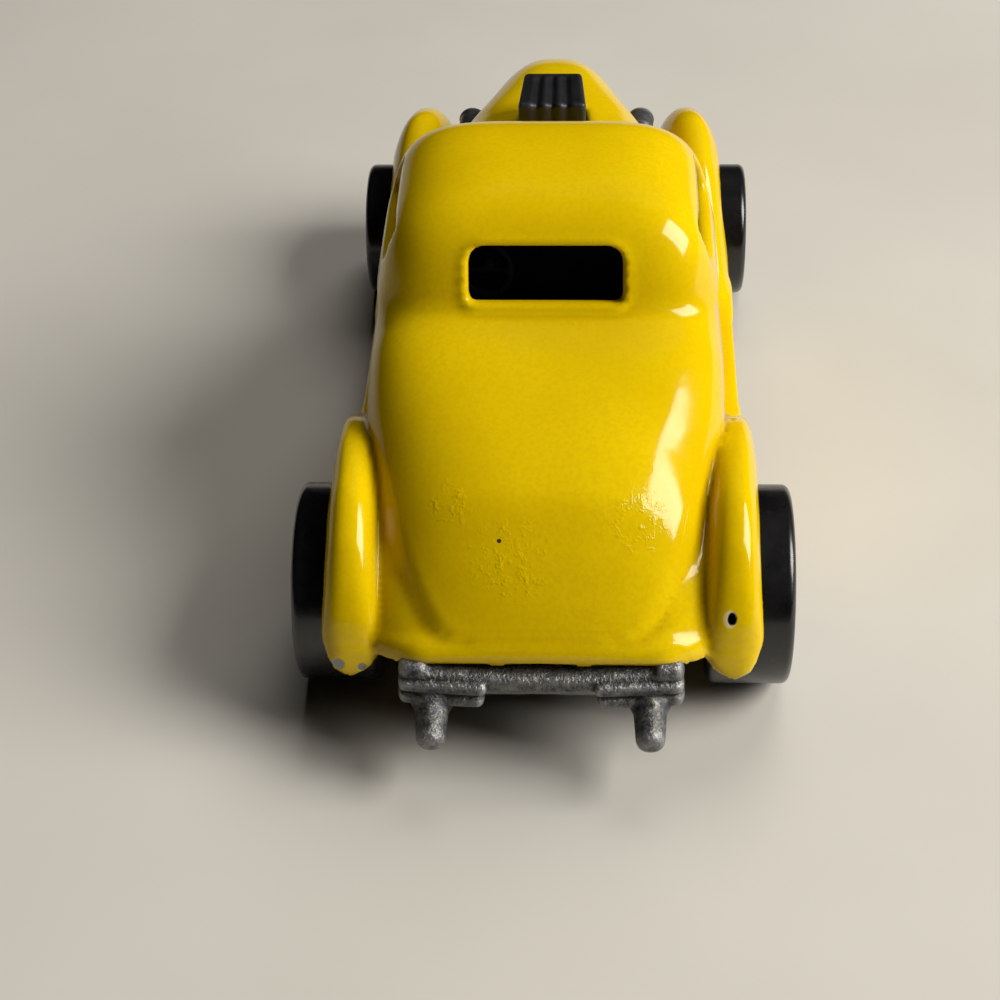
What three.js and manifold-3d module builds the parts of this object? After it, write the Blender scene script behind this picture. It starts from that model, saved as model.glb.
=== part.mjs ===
// A small die-cast toy hot rod: a hollow painted metal body over a bare cast base, with a black
// seat moulding and hood scoop, metal lamps and grille, and four free-turning wheels on wire axles.
// Millimetres, +Z up, nose towards +Y. Sizes are measured from the rear axle and the ground, and
// the finished car is moved so that the middle of its length lies on the origin.
import * as THREE from "three";
import { mergeVertices } from "three/addons/utils/BufferGeometryUtils.js";
import Module from "manifold-3d";

const wasm = await Module();
wasm.setup();

// Wheels and axles
const WHEELBASE = 44.2;
const REAR_TRACK = 31.8;
const FRONT_TRACK = 30.4;
const REAR_TYRE_RADIUS = 6.5;
const FRONT_TYRE_RADIUS = 5.2;
const REAR_TYRE_WIDTH = 5.3;
const FRONT_TYRE_WIDTH = 4.3;
const TYRE_WALL = 1.9;
const TREAD_ROUND = 0.5;
const AXLE_RADIUS = 0.5;
const AXLE_HEAD_RADIUS = 1.0;
const AXLE_HEAD_LENGTH = 0.5;
const SPOKES = 5;
const HUB_RIM_WALL = 0.7;
const HUB_BOSS_RADIUS = 1.5;
const HUB_DISH = 0.9;
const WHEEL_STEPS = 28;

// Body casting
const WALL = 1.1;
const ROOF_HEIGHT = 27.2;
const BELT_HEIGHT = 20.9;
const SILL_HEIGHT = 4.5;
const TAIL_OVERHANG = 9.7;
const TAIL_LIP_HEIGHT = 8.7;
const NOSE_OVERHANG = 7.4;
const CAB_BACK = 10.1;
const CAB_LENGTH = 18.2;
const CAB_HALF_WIDTH = 11.5;
const TUMBLEHOME = 0.22;
const WINDSHIELD_RAKE = 0.3;
const BACK_RAKE = 0.36;
const RUNNING_BOARD_HALF = 13.8;
const RUNNING_BOARD_THICKNESS = 1.2;
const FENDER_TYRE_OVERHANG = 1.7;
const FENDER_TAIL_HEIGHT = 6.2;
const FENDER_NOSE_OVERHANG = 3.4;
const POST_RADIUS = 1.5;
const REAR_POST_BACK = 4.8;

// Windows
const REAR_WINDOW_WIDTH = 10;
const REAR_WINDOW_SILL = 0.75;
const REAR_WINDOW_HEIGHT = 3.6;
const SIDE_WINDOW_LENGTH = 9.2;
const SIDE_WINDOW_HEIGHT = 2.5;
const WINDSHIELD_WIDTH = 15;
const WINDSHIELD_HEIGHT = 3.2;
const WINDOW_SILL = 0.9;
const WINDOW_CORNER = 0.8;

// Base casting
const BASE_UNDERSIDE = 2.8;
const BASE_THICKNESS = 1.4;
const SADDLE_WIDTH = 1.6;
const SADDLE_CHEEK = 1.0;
const BUMPER_HALF = 8.9;
const BUMPER_HEIGHT = 7.1;
const BUMPER_BOW = 0.5;
const BUMPER_STAND_OFF = 0.2;
const PAD_INNER = 3.3;
const TAILPIPE_OFFSET = 6.8;
const TAILPIPE_LENGTH = 3.6;
const TAILPIPE_ROOT_RADIUS = 1.1;
const TAILPIPE_TIP_RADIUS = 0.72;
const TAILPIPE_DROOP = 0.35;
const RIVET_RADIUS = 0.8;
const RIVET_HEAD_RADIUS = 1.7;
const RIVET_LENGTH = 5.5;
const RIVET_SEAT_DEPTH = 0.5;
const SHAFT_RADIUS = 0.7;
const GEARBOX_RADIUS = 1.2;
const SUMP_RADIUS = 1.35;
const EXHAUST_RADIUS = 0.6;
const EXHAUST_INSET = 1.4;

// Trim
const SCOOP_LENGTH = 4.8;
const SCOOP_REAR_WIDTH = 5.0;
const SCOOP_FRONT_WIDTH = 4.3;
const SCOOP_RISE = 2.9;
const SCOOP_GROOVES = 3;
const GROOVE_DEPTH = 0.32;
const GROOVE_HALF = 0.16;
const SCOOP_FRONT_BACK = 6.0;
const FLANGE_LIP = 0.7;
const LAMP_OFFSET = 6.8;
const LAMP_FORWARD = 3.0;
const LAMP_HEIGHT = 13.0;
const LAMP_RADIUS = 1.1;
const LAMP_LENGTH = 2.6;
const LAMP_STEM_RADIUS = 0.5;
const GRILLE_HALF_WIDTH = 1.5;
const GRILLE_FOOT = 6.6;
const GRILLE_TOP = 15.2;
const GRILLE_BARS = 5;
const GRILLE_RECESS = 0.9;

// Clearances
const GAP = 0.3;
const RUNNING_GAP = 0.1;
const SADDLE_GAP = 0.35;
const WELL_GAP = 0.7;
const WELL_SIDE_GAP = 0.5;

// Values that several pieces share
const FRONT_AXLE = WHEELBASE;
const REAR_TOP = 2 * REAR_TYRE_RADIUS;
const FRONT_TOP = 2 * FRONT_TYRE_RADIUS;
const REAR_FACE = REAR_TRACK / 2;
const FRONT_FACE = FRONT_TRACK / 2;
const REAR_INNER = REAR_FACE - REAR_TYRE_WIDTH;
const FRONT_INNER = FRONT_FACE - FRONT_TYRE_WIDTH;
const CAB_FRONT = CAB_BACK + CAB_LENGTH;
const TAIL = -TAIL_OVERHANG;
const NOSE = FRONT_AXLE + NOSE_OVERHANG;
const BASE_TOP = BASE_UNDERSIDE + BASE_THICKNESS;
const AXLE_SLOT = AXLE_RADIUS + SADDLE_GAP;
const HUB_BORE = AXLE_RADIUS + RUNNING_GAP;
const REAR_POST = -REAR_POST_BACK;
const SADDLE_HALF_LENGTH = AXLE_SLOT + SADDLE_CHEEK;
const FRONT_POST = FRONT_AXLE + SADDLE_HALF_LENGTH + GAP + POST_RADIUS;
const SCOOP_FRONT = FRONT_AXLE - SCOOP_FRONT_BACK;
const SCOOP_BACK = SCOOP_FRONT - SCOOP_LENGTH;
const FENDER_NOSE = FRONT_AXLE + FRONT_TYRE_RADIUS + FENDER_NOSE_OVERHANG;
const BUMPER_BACK = TAIL - BUMPER_STAND_OFF;
const PIPE_TIP = BUMPER_BACK + 0.4 - TAILPIPE_LENGTH;
const PIPE_END = PIPE_TIP - TAILPIPE_TIP_RADIUS * Math.sin(Math.atan(TAILPIPE_DROOP));
const CENTRE = (FENDER_NOSE + PIPE_END) / 2;

// A smooth curve through a few [position, value] points that never swings past them.
function curveThrough(points) {
  const last = points.length - 1;
  const chord = points.slice(1).map((p, i) => (p[1] - points[i][1]) / (p[0] - points[i][0]));
  const tangent = points.map((point, i) => {
    if (i === 0 || i === last) {
      return chord[i === 0 ? 0 : last - 1];
    }
    const product = chord[i - 1] * chord[i];
    return product <= 0 ? 0 : (2 * product) / (chord[i - 1] + chord[i]);
  });
  return (position) => {
    let i = 0;
    while (i < last - 1 && position > points[i + 1][0]) {
      i += 1;
    }
    const span = points[i + 1][0] - points[i][0];
    const t = THREE.MathUtils.clamp((position - points[i][0]) / span, 0, 1);
    const ease = t * t * (3 - 2 * t);
    const start = t * (1 - t) * (1 - t) * span * tangent[i];
    const end = t * t * (t - 1) * span * tangent[i + 1];
    return points[i][1] * (1 - ease) + points[i + 1][1] * ease + start + end;
  };
}

const signedPower = (value, power) => Math.sign(value) * Math.abs(value) ** power;

// Positions from start to end, drawn closer together at both ends.
function easedSteps(start, end, count) {
  return Array.from({ length: count + 1 }, (unused, i) => {
    const t = (1 - Math.cos((Math.PI * i) / count)) / 2;
    return start + (end - start) * t;
  });
}

// A closed skin over a row of rings with equal point counts, capped at both ends.
function loft(rings) {
  const count = rings[0].length;
  const points = rings.flat();
  const index = [];
  for (let r = 0; r + 1 < rings.length; r += 1) {
    for (let i = 0; i < count; i += 1) {
      const a = r * count + i;
      const b = r * count + ((i + 1) % count);
      index.push(a, b, a + count, b, b + count, a + count);
    }
  }
  const capRing = (ring, first, flip) => {
    const middle = ring.reduce((sum, p) => sum.add(p), new THREE.Vector3()).divideScalar(count);
    const hub = points.push(middle) - 1;
    for (let i = 0; i < count; i += 1) {
      const a = first + i;
      const b = first + ((i + 1) % count);
      index.push(hub, flip ? b : a, flip ? a : b);
    }
  };
  capRing(rings[0], 0, true);
  capRing(rings[rings.length - 1], (rings.length - 1) * count, false);
  const geometry = new THREE.BufferGeometry().setFromPoints(points);
  geometry.setIndex(index);
  return geometry;
}

// A geometry as a solid for joining and cutting, turned right side out if need be.
function solid(geometry) {
  const bare = geometry.clone();
  bare.deleteAttribute("normal");
  bare.deleteAttribute("uv");
  const merged = mergeVertices(bare, 1e-4);
  const vertProperties = new Float32Array(merged.attributes.position.array);
  const triVerts = new Uint32Array(merged.index.array);
  let volume = 0;
  const corner = [0, 1, 2].map(() => new THREE.Vector3());
  for (let i = 0; i < triVerts.length; i += 3) {
    corner.forEach((point, k) => point.fromArray(vertProperties, 3 * triVerts[i + k]));
    volume += corner[0].dot(corner[1].clone().cross(corner[2]));
  }
  if (volume < 0) {
    for (let i = 0; i < triVerts.length; i += 3) {
      [triVerts[i], triVerts[i + 1]] = [triVerts[i + 1], triVerts[i]];
    }
  }
  return new wasm.Manifold(new wasm.Mesh({ numProp: 3, vertProperties, triVerts }));
}

const join = (...solids) => solids.reduce((whole, next) => whole.add(next));
const cut = (whole, ...tools) => tools.reduce((rest, tool) => rest.subtract(tool), whole);

// A named mesh of one solid in its own finish.
function piece(name, shape, finish) {
  const { vertProperties, triVerts, numProp } = shape.getMesh();
  const geometry = new THREE.BufferGeometry();
  const position = new Float32Array((vertProperties.length / numProp) * 3);
  for (let i = 0; i < position.length / 3; i += 1) {
    position.set(vertProperties.subarray(i * numProp, i * numProp + 3), i * 3);
  }
  geometry.setAttribute("position", new THREE.BufferAttribute(position, 3));
  geometry.setIndex(Array.from(triVerts));
  const mesh = new THREE.Mesh(geometry, new THREE.MeshStandardMaterial(finish));
  mesh.name = name;
  return mesh;
}

const box = (x0, x1, y0, y1, z0, z1) =>
  solid(
    new THREE.BoxGeometry(x1 - x0, y1 - y0, z1 - z0).translate(
      (x0 + x1) / 2,
      (y0 + y1) / 2,
      (z0 + z1) / 2,
    ),
  );

// A round bar from one point to another, straight or tapered.
function bar(from, to, startRadius, endRadius, sides) {
  const direction = to.clone().sub(from);
  const geometry = new THREE.CylinderGeometry(endRadius, startRadius, direction.length(), sides);
  const turn = new THREE.Quaternion();
  turn.setFromUnitVectors(new THREE.Vector3(0, 1, 0), direction.clone().normalize());
  geometry.applyQuaternion(turn);
  geometry.translate(...from.clone().add(to).multiplyScalar(0.5).toArray());
  return solid(geometry);
}

const at = (x, y, z) => new THREE.Vector3(x, y, z);
const crossBar = (x0, x1, y, z, radius, sides) =>
  bar(at(x0, y, z), at(x1, y, z), radius, radius, sides);
const upright = (x, y, z0, z1, radius, sides) =>
  bar(at(x, y, z0), at(x, y, z1), radius, radius, sides);

// A rounded rectangle in a flat outline.
function roundedOutline(left, right, low, high, corner) {
  const shape = new THREE.Shape();
  const quarter = Math.PI / 2;
  shape.absarc(right - corner, low + corner, corner, -quarter, 0, false);
  shape.absarc(right - corner, high - corner, corner, 0, quarter, false);
  shape.absarc(left + corner, high - corner, corner, quarter, 2 * quarter, false);
  shape.absarc(left + corner, low + corner, corner, 2 * quarter, 3 * quarter, false);
  shape.closePath();
  return shape;
}

const extruded = (shape, depth, curveSegments) =>
  new THREE.ExtrudeGeometry(shape, { depth, bevelEnabled: false, curveSegments });

// An outline drawn in x and z, carried along Y from near to far.
function alongY(shape, near, far, curveSegments = 3) {
  const geometry = extruded(shape, far - near, curveSegments);
  return solid(geometry.rotateX(Math.PI / 2).translate(0, far, 0));
}

// An outline drawn in y and z, carried along X from left to right.
function alongX(shape, left, right, curveSegments = 3) {
  const geometry = extruded(shape, right - left, curveSegments);
  return solid(geometry.rotateX(Math.PI / 2).rotateZ(Math.PI / 2).translate(left, 0, 0));
}

// An outline drawn in x and y, carried up from low to high.
function alongZ(shape, low, high, curveSegments = 3) {
  const geometry = extruded(shape, high - low, curveSegments);
  return solid(geometry.translate(0, 0, low));
}

// The hull is the deck, doors and hood: crowned sections carried from tail to nose. Each row of
// points gives the top line, the half width, the height where the sides start to round over, and
// how square the section is, along the length of the car.
const hullTop = curveThrough([
  [TAIL, TAIL_LIP_HEIGHT],
  [TAIL + 0.45, 10.6],
  [TAIL + 1.6, 12.9],
  [TAIL + 5.8, 16.9],
  [CAB_BACK - 6.9, 19.3],
  [CAB_BACK, BELT_HEIGHT],
  [CAB_FRONT, BELT_HEIGHT - 0.5],
  [FRONT_AXLE - 4.2, 19.7],
  [FRONT_AXLE + 2.0, 18.9],
  [FRONT_AXLE + 5.0, 18.0],
  [NOSE - 0.5, 16.4],
  [NOSE, 14.6],
]);
const hullHalf = curveThrough([
  [TAIL, 6.6],
  [TAIL + 1.7, 8.5],
  [TAIL + 5.7, 10.5],
  [0, 11.2],
  [CAB_BACK - 5, 11.7],
  [CAB_BACK + 1, CAB_HALF_WIDTH + 0.3],
  [CAB_FRONT - 7, CAB_HALF_WIDTH],
  [CAB_FRONT, 10.8],
  [FRONT_AXLE - 4.7, 7.8],
  [FRONT_AXLE, 6.1],
  [FRONT_AXLE + 4.0, 4.8],
  [NOSE - 0.6, 3.6],
  [NOSE, 2.8],
]);
const hullSpring = curveThrough([
  [TAIL, 7],
  [0, 9],
  [CAB_BACK, 12],
  [CAB_FRONT, 13],
  [FRONT_AXLE, 11.5],
  [NOSE, 9],
]);
const hullSquareness = curveThrough([
  [TAIL, 2.6],
  [0, 3.1],
  [CAB_BACK, 5],
  [CAB_FRONT, 5],
  [FRONT_AXLE - 5, 2.9],
  [NOSE, 2.7],
]);

function hull(inset, stations, arcSteps) {
  const shrunk = (curve, y) => Math.min(curve(y - inset), curve(y + inset)) - inset;
  const floor = inset > 0 ? -1 : SILL_HEIGHT;
  const ringAt = (y) => {
    const half = shrunk(hullHalf, y);
    const spring = hullSpring(y) - inset;
    const rise = Math.max(shrunk(hullTop, y) - spring, 0.1);
    const power = 2 / hullSquareness(y);
    const ring = [];
    for (let i = 0; i <= arcSteps; i += 1) {
      const angle = (Math.PI * i) / arcSteps;
      const across = half * signedPower(Math.cos(angle), power);
      ring.push(at(across, y, spring + rise * signedPower(Math.sin(angle), power)));
    }
    ring.push(at(-half, y, floor), at(half, y, floor));
    return ring;
  };
  return solid(loft(easedSteps(TAIL + inset, NOSE - inset, stations).map(ringAt)));
}

// The cab is a stack of rounded plan outlines that lean in towards a domed roof.
const CAB_FOOT = 13;
const CAB_CORNER_POWER = 2 / 5.5;
const ROOF_DOME = 3.8;

function cab(inset, levels, ringSteps) {
  const roof = ROOF_HEIGHT - inset;
  const ringAt = (height, shrink) => {
    const above = height - BELT_HEIGHT;
    const front = CAB_FRONT - inset - WINDSHIELD_RAKE * Math.max(above, 0);
    const back = CAB_BACK + inset + BACK_RAKE * above;
    const half = (CAB_HALF_WIDTH - inset - TUMBLEHOME * Math.max(above + 1, 0)) * shrink;
    const reach = ((front - back) / 2) * shrink;
    return Array.from({ length: ringSteps }, (unused, i) => {
      const angle = (2 * Math.PI * i) / ringSteps;
      const x = half * signedPower(Math.cos(angle), CAB_CORNER_POWER);
      const y = (front + back) / 2 + reach * signedPower(Math.sin(angle), CAB_CORNER_POWER);
      return at(x, y, height);
    });
  };
  const rings = [ringAt(CAB_FOOT, 1), ringAt(BELT_HEIGHT - 1, 1), ringAt(BELT_HEIGHT, 1)];
  for (let i = 1; i <= levels; i += 1) {
    const climb = Math.sin((0.485 * Math.PI * i) / levels);
    const shrink = (1 - climb ** ROOF_DOME) ** (1 / ROOF_DOME);
    rings.push(ringAt(BELT_HEIGHT + (roof - BELT_HEIGHT) * climb, shrink));
  }
  return solid(loft(rings));
}

// A fender is an arched section carried along Y: crest is its top line, and inner, ridge and outer
// are the distances from the middle of the car to its inner foot, its crest and its outer foot.
function fender({ crest, inner, ridge, outer, ends, squareness }, inset, stations, arcSteps) {
  const foot = inset > 0 ? -1 : SILL_HEIGHT;
  const power = 2 / squareness;
  const ringAt = (y) => {
    const top = Math.min(crest(y - inset), crest(y + inset)) - inset;
    const ring = [];
    for (let i = 0; i <= arcSteps; i += 1) {
      const angle = (Math.PI * i) / arcSteps;
      const side = Math.cos(angle);
      const reach = side > 0 ? outer(y) - ridge(y) - inset : ridge(y) - inner(y) - inset;
      const across = ridge(y) + reach * signedPower(side, power);
      const rise = Math.max(top - SILL_HEIGHT, 0.05) * signedPower(Math.sin(angle), power);
      ring.push(at(across, y, SILL_HEIGHT + rise));
    }
    ring.push(at(ring[arcSteps].x, y, foot - 0.01), at(ring[0].x, y, foot - 0.01));
    return ring;
  };
  return solid(loft(easedSteps(ends[0] + inset, ends[1] - inset, stations).map(ringAt)));
}

const REAR_FENDER_BACK = -(REAR_TYRE_RADIUS + WELL_GAP + 1.4);
const REAR_FENDER_FRONT = REAR_TYRE_RADIUS + 13.5;
const rearFender = {
  crest: curveThrough([
    [REAR_FENDER_BACK, SILL_HEIGHT + 1.2],
    [REAR_FENDER_BACK + 0.35, REAR_TOP - 4.4],
    [REAR_FENDER_BACK + 1.7, REAR_TOP - 0.6],
    [REAR_FENDER_BACK + 4.2, REAR_TOP + 1.8],
    [-1, REAR_TOP + 2.7],
    [2.5, REAR_TOP + 2.8],
    [REAR_TYRE_RADIUS - 0.5, REAR_TOP + 2.1],
    [REAR_TYRE_RADIUS + 3.1, REAR_TOP],
    [REAR_TYRE_RADIUS + 6.5, REAR_TOP - 3.1],
    [REAR_TYRE_RADIUS + 10.5, SILL_HEIGHT + 2.2],
    [REAR_FENDER_FRONT, SILL_HEIGHT + 1],
  ]),
  inner: curveThrough([
    [REAR_FENDER_BACK, REAR_FACE - 5.4],
    [0, REAR_FACE - 5.6],
    [REAR_FENDER_FRONT, REAR_FACE - 5.2],
  ]),
  ridge: curveThrough([
    [REAR_FENDER_BACK, REAR_FACE - 3.5],
    [0, REAR_FACE - 3.4],
    [REAR_TYRE_RADIUS + 3, REAR_FACE - 3.1],
    [REAR_FENDER_FRONT, REAR_FACE - 3.8],
  ]),
  outer: curveThrough([
    [REAR_FENDER_BACK, REAR_FACE - FENDER_TYRE_OVERHANG - 0.7],
    [REAR_FENDER_BACK + 1.5, REAR_FACE - FENDER_TYRE_OVERHANG - 0.1],
    [2, REAR_FACE - FENDER_TYRE_OVERHANG],
    [REAR_TYRE_RADIUS + 4, REAR_FACE - FENDER_TYRE_OVERHANG - 0.2],
    [REAR_FENDER_FRONT, REAR_FACE - FENDER_TYRE_OVERHANG - 0.4],
  ]),
  ends: [REAR_FENDER_BACK, REAR_FENDER_FRONT],
  squareness: 2.3,
};

const FRONT_FENDER_BACK = FRONT_AXLE - FRONT_TYRE_RADIUS - 8;
const frontFender = {
  crest: curveThrough([
    [FRONT_FENDER_BACK, SILL_HEIGHT + 1],
    [FRONT_AXLE - FRONT_TYRE_RADIUS - 5, SILL_HEIGHT + 2.4],
    [FRONT_AXLE - FRONT_TYRE_RADIUS - 1, FRONT_TOP - 0.2],
    [FRONT_AXLE - 1.7, FRONT_TOP + 3],
    [FRONT_AXLE + 2.1, FRONT_TOP + 3.9],
    [FRONT_AXLE + FRONT_TYRE_RADIUS - 0.1, FRONT_TOP + 3.1],
    [FENDER_NOSE - 1.7, FRONT_TOP + 1.7],
    [FENDER_NOSE - 0.4, FRONT_TOP - 1.2],
    [FENDER_NOSE, SILL_HEIGHT + 1.6],
  ]),
  inner: curveThrough([
    [FRONT_FENDER_BACK, FRONT_FACE - 4.4],
    [FRONT_AXLE - 6, FRONT_FACE - 6.6],
    [FRONT_AXLE + 4, FRONT_FACE - 7.8],
    [FENDER_NOSE, FRONT_FACE - 7.4],
  ]),
  ridge: curveThrough([
    [FRONT_FENDER_BACK, FRONT_FACE - 3],
    [FRONT_AXLE, FRONT_FACE - 4],
    [FENDER_NOSE, FRONT_FACE - 5],
  ]),
  outer: curveThrough([
    [FRONT_FENDER_BACK, FRONT_FACE - 1.4],
    [FRONT_AXLE, FRONT_FACE - FENDER_TYRE_OVERHANG + 0.3],
    [FRONT_AXLE + FRONT_TYRE_RADIUS, FRONT_FACE - FENDER_TYRE_OVERHANG - 0.3],
    [FENDER_NOSE, FRONT_FACE - FENDER_TYRE_OVERHANG - 1.8],
  ]),
  ends: [FRONT_FENDER_BACK, FENDER_NOSE],
  squareness: 2.2,
};

const mirrored = (shape) => shape.mirror([1, 0, 0]);
const bothSides = (shape) => join(shape, mirrored(shape));

// The apron fills the low corners of the tail between the deck and the rear fenders.
function tailApron() {
  const outline = new THREE.Shape();
  outline.moveTo(TAIL + 0.4, TAIL_LIP_HEIGHT - 1.6);
  outline.lineTo(TAIL + 0.4, TAIL_LIP_HEIGHT + 0.7);
  outline.quadraticCurveTo(TAIL + 1.4, REAR_TOP - 0.7, TAIL + 3.8, REAR_TOP + 0.6);
  outline.quadraticCurveTo(TAIL + 6.5, REAR_TOP + 1.6, 0, REAR_TOP + 1.7);
  outline.lineTo(CAB_BACK - 3, REAR_TOP + 1);
  outline.lineTo(CAB_BACK + 1, REAR_TOP - 1);
  outline.lineTo(CAB_BACK + 1, TAIL_LIP_HEIGHT - 1.6);
  const half = REAR_FACE - 4.7;
  const block = alongX(outline, -half, half, 5);
  const corner = new THREE.Shape();
  corner.moveTo(half * 0.45, TAIL - 1);
  corner.lineTo(half * 0.45, TAIL + 0.3);
  corner.quadraticCurveTo(half * 0.75, TAIL + 0.5, half + 0.2, TAIL + 1.9);
  corner.lineTo(half + 0.2, TAIL - 1);
  return cut(block, bothSides(alongZ(corner, 0, REAR_TOP)));
}

// The catwalk is the low arched floor that joins the hood sides to the front fenders.
const CATWALK_HEIGHT = FRONT_TOP - 0.3;

function catwalk() {
  const outline = new THREE.Shape();
  const back = FRONT_AXLE - FRONT_TYRE_RADIUS - 4;
  const front = NOSE - 0.4;
  const spine = [
    [back, SILL_HEIGHT + WALL],
    [FRONT_AXLE - 4, CATWALK_HEIGHT - 1],
    [FRONT_AXLE + 1, CATWALK_HEIGHT],
    [FRONT_AXLE + 4.6, CATWALK_HEIGHT - 0.3],
    [front, SILL_HEIGHT + 2.5],
  ];
  const upper = spine.map(([y, z]) => new THREE.Vector2(y, z));
  const lower = spine.map(([y, z]) => new THREE.Vector2(y - 0.3, z - WALL)).reverse();
  outline.moveTo(back, SILL_HEIGHT + WALL);
  outline.splineThru(upper.slice(1));
  outline.lineTo(lower[0].x, lower[0].y);
  outline.splineThru(lower.slice(1));
  return alongX(outline, -(FRONT_FACE - 5), FRONT_FACE - 5, 3);
}

// Wheel wells leave running room round each tyre and past its inner face.
const wheelWell = (inner, face, y, radius) =>
  crossBar(inner - WELL_SIDE_GAP, face + 3, y, radius, radius + WELL_GAP, WHEEL_STEPS);
const rearWell = wheelWell(REAR_INNER, REAR_FACE, 0, REAR_TYRE_RADIUS);
const frontWell = wheelWell(FRONT_INNER, FRONT_FACE, FRONT_AXLE, FRONT_TYRE_RADIUS);

// The scoop stands in a hood opening that follows its tapered plan.
function scoopPlan(margin) {
  const outline = new THREE.Shape();
  const back = SCOOP_REAR_WIDTH / 2 + margin;
  const front = SCOOP_FRONT_WIDTH / 2 + margin;
  outline.moveTo(-back, SCOOP_BACK - margin);
  outline.lineTo(back, SCOOP_BACK - margin);
  outline.lineTo(front, SCOOP_FRONT + margin);
  outline.lineTo(-front, SCOOP_FRONT + margin);
  return outline;
}

// The grille outline is a shield, wide at the top and pointed at the foot.
function grilleShield(margin) {
  const half = GRILLE_HALF_WIDTH + margin;
  const shield = new THREE.Shape();
  shield.moveTo(0, GRILLE_FOOT - margin);
  shield.quadraticCurveTo(half * 0.8, GRILLE_FOOT + 1 - margin, half, GRILLE_TOP - 3);
  shield.quadraticCurveTo(half, GRILLE_TOP + margin, 0, GRILLE_TOP + margin);
  shield.quadraticCurveTo(-half, GRILLE_TOP + margin, -half, GRILLE_TOP - 3);
  shield.quadraticCurveTo(-half * 0.8, GRILLE_FOOT + 1 - margin, 0, GRILLE_FOOT - margin);
  return shield;
}

// A solid turned about a line along X through the given place in the side view.
function tilted(shape, y, z, angle) {
  const degrees = THREE.MathUtils.radToDeg(angle);
  return shape.translate([0, -y, -z]).rotate([degrees, 0, 0]).translate([0, y, z]);
}

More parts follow.
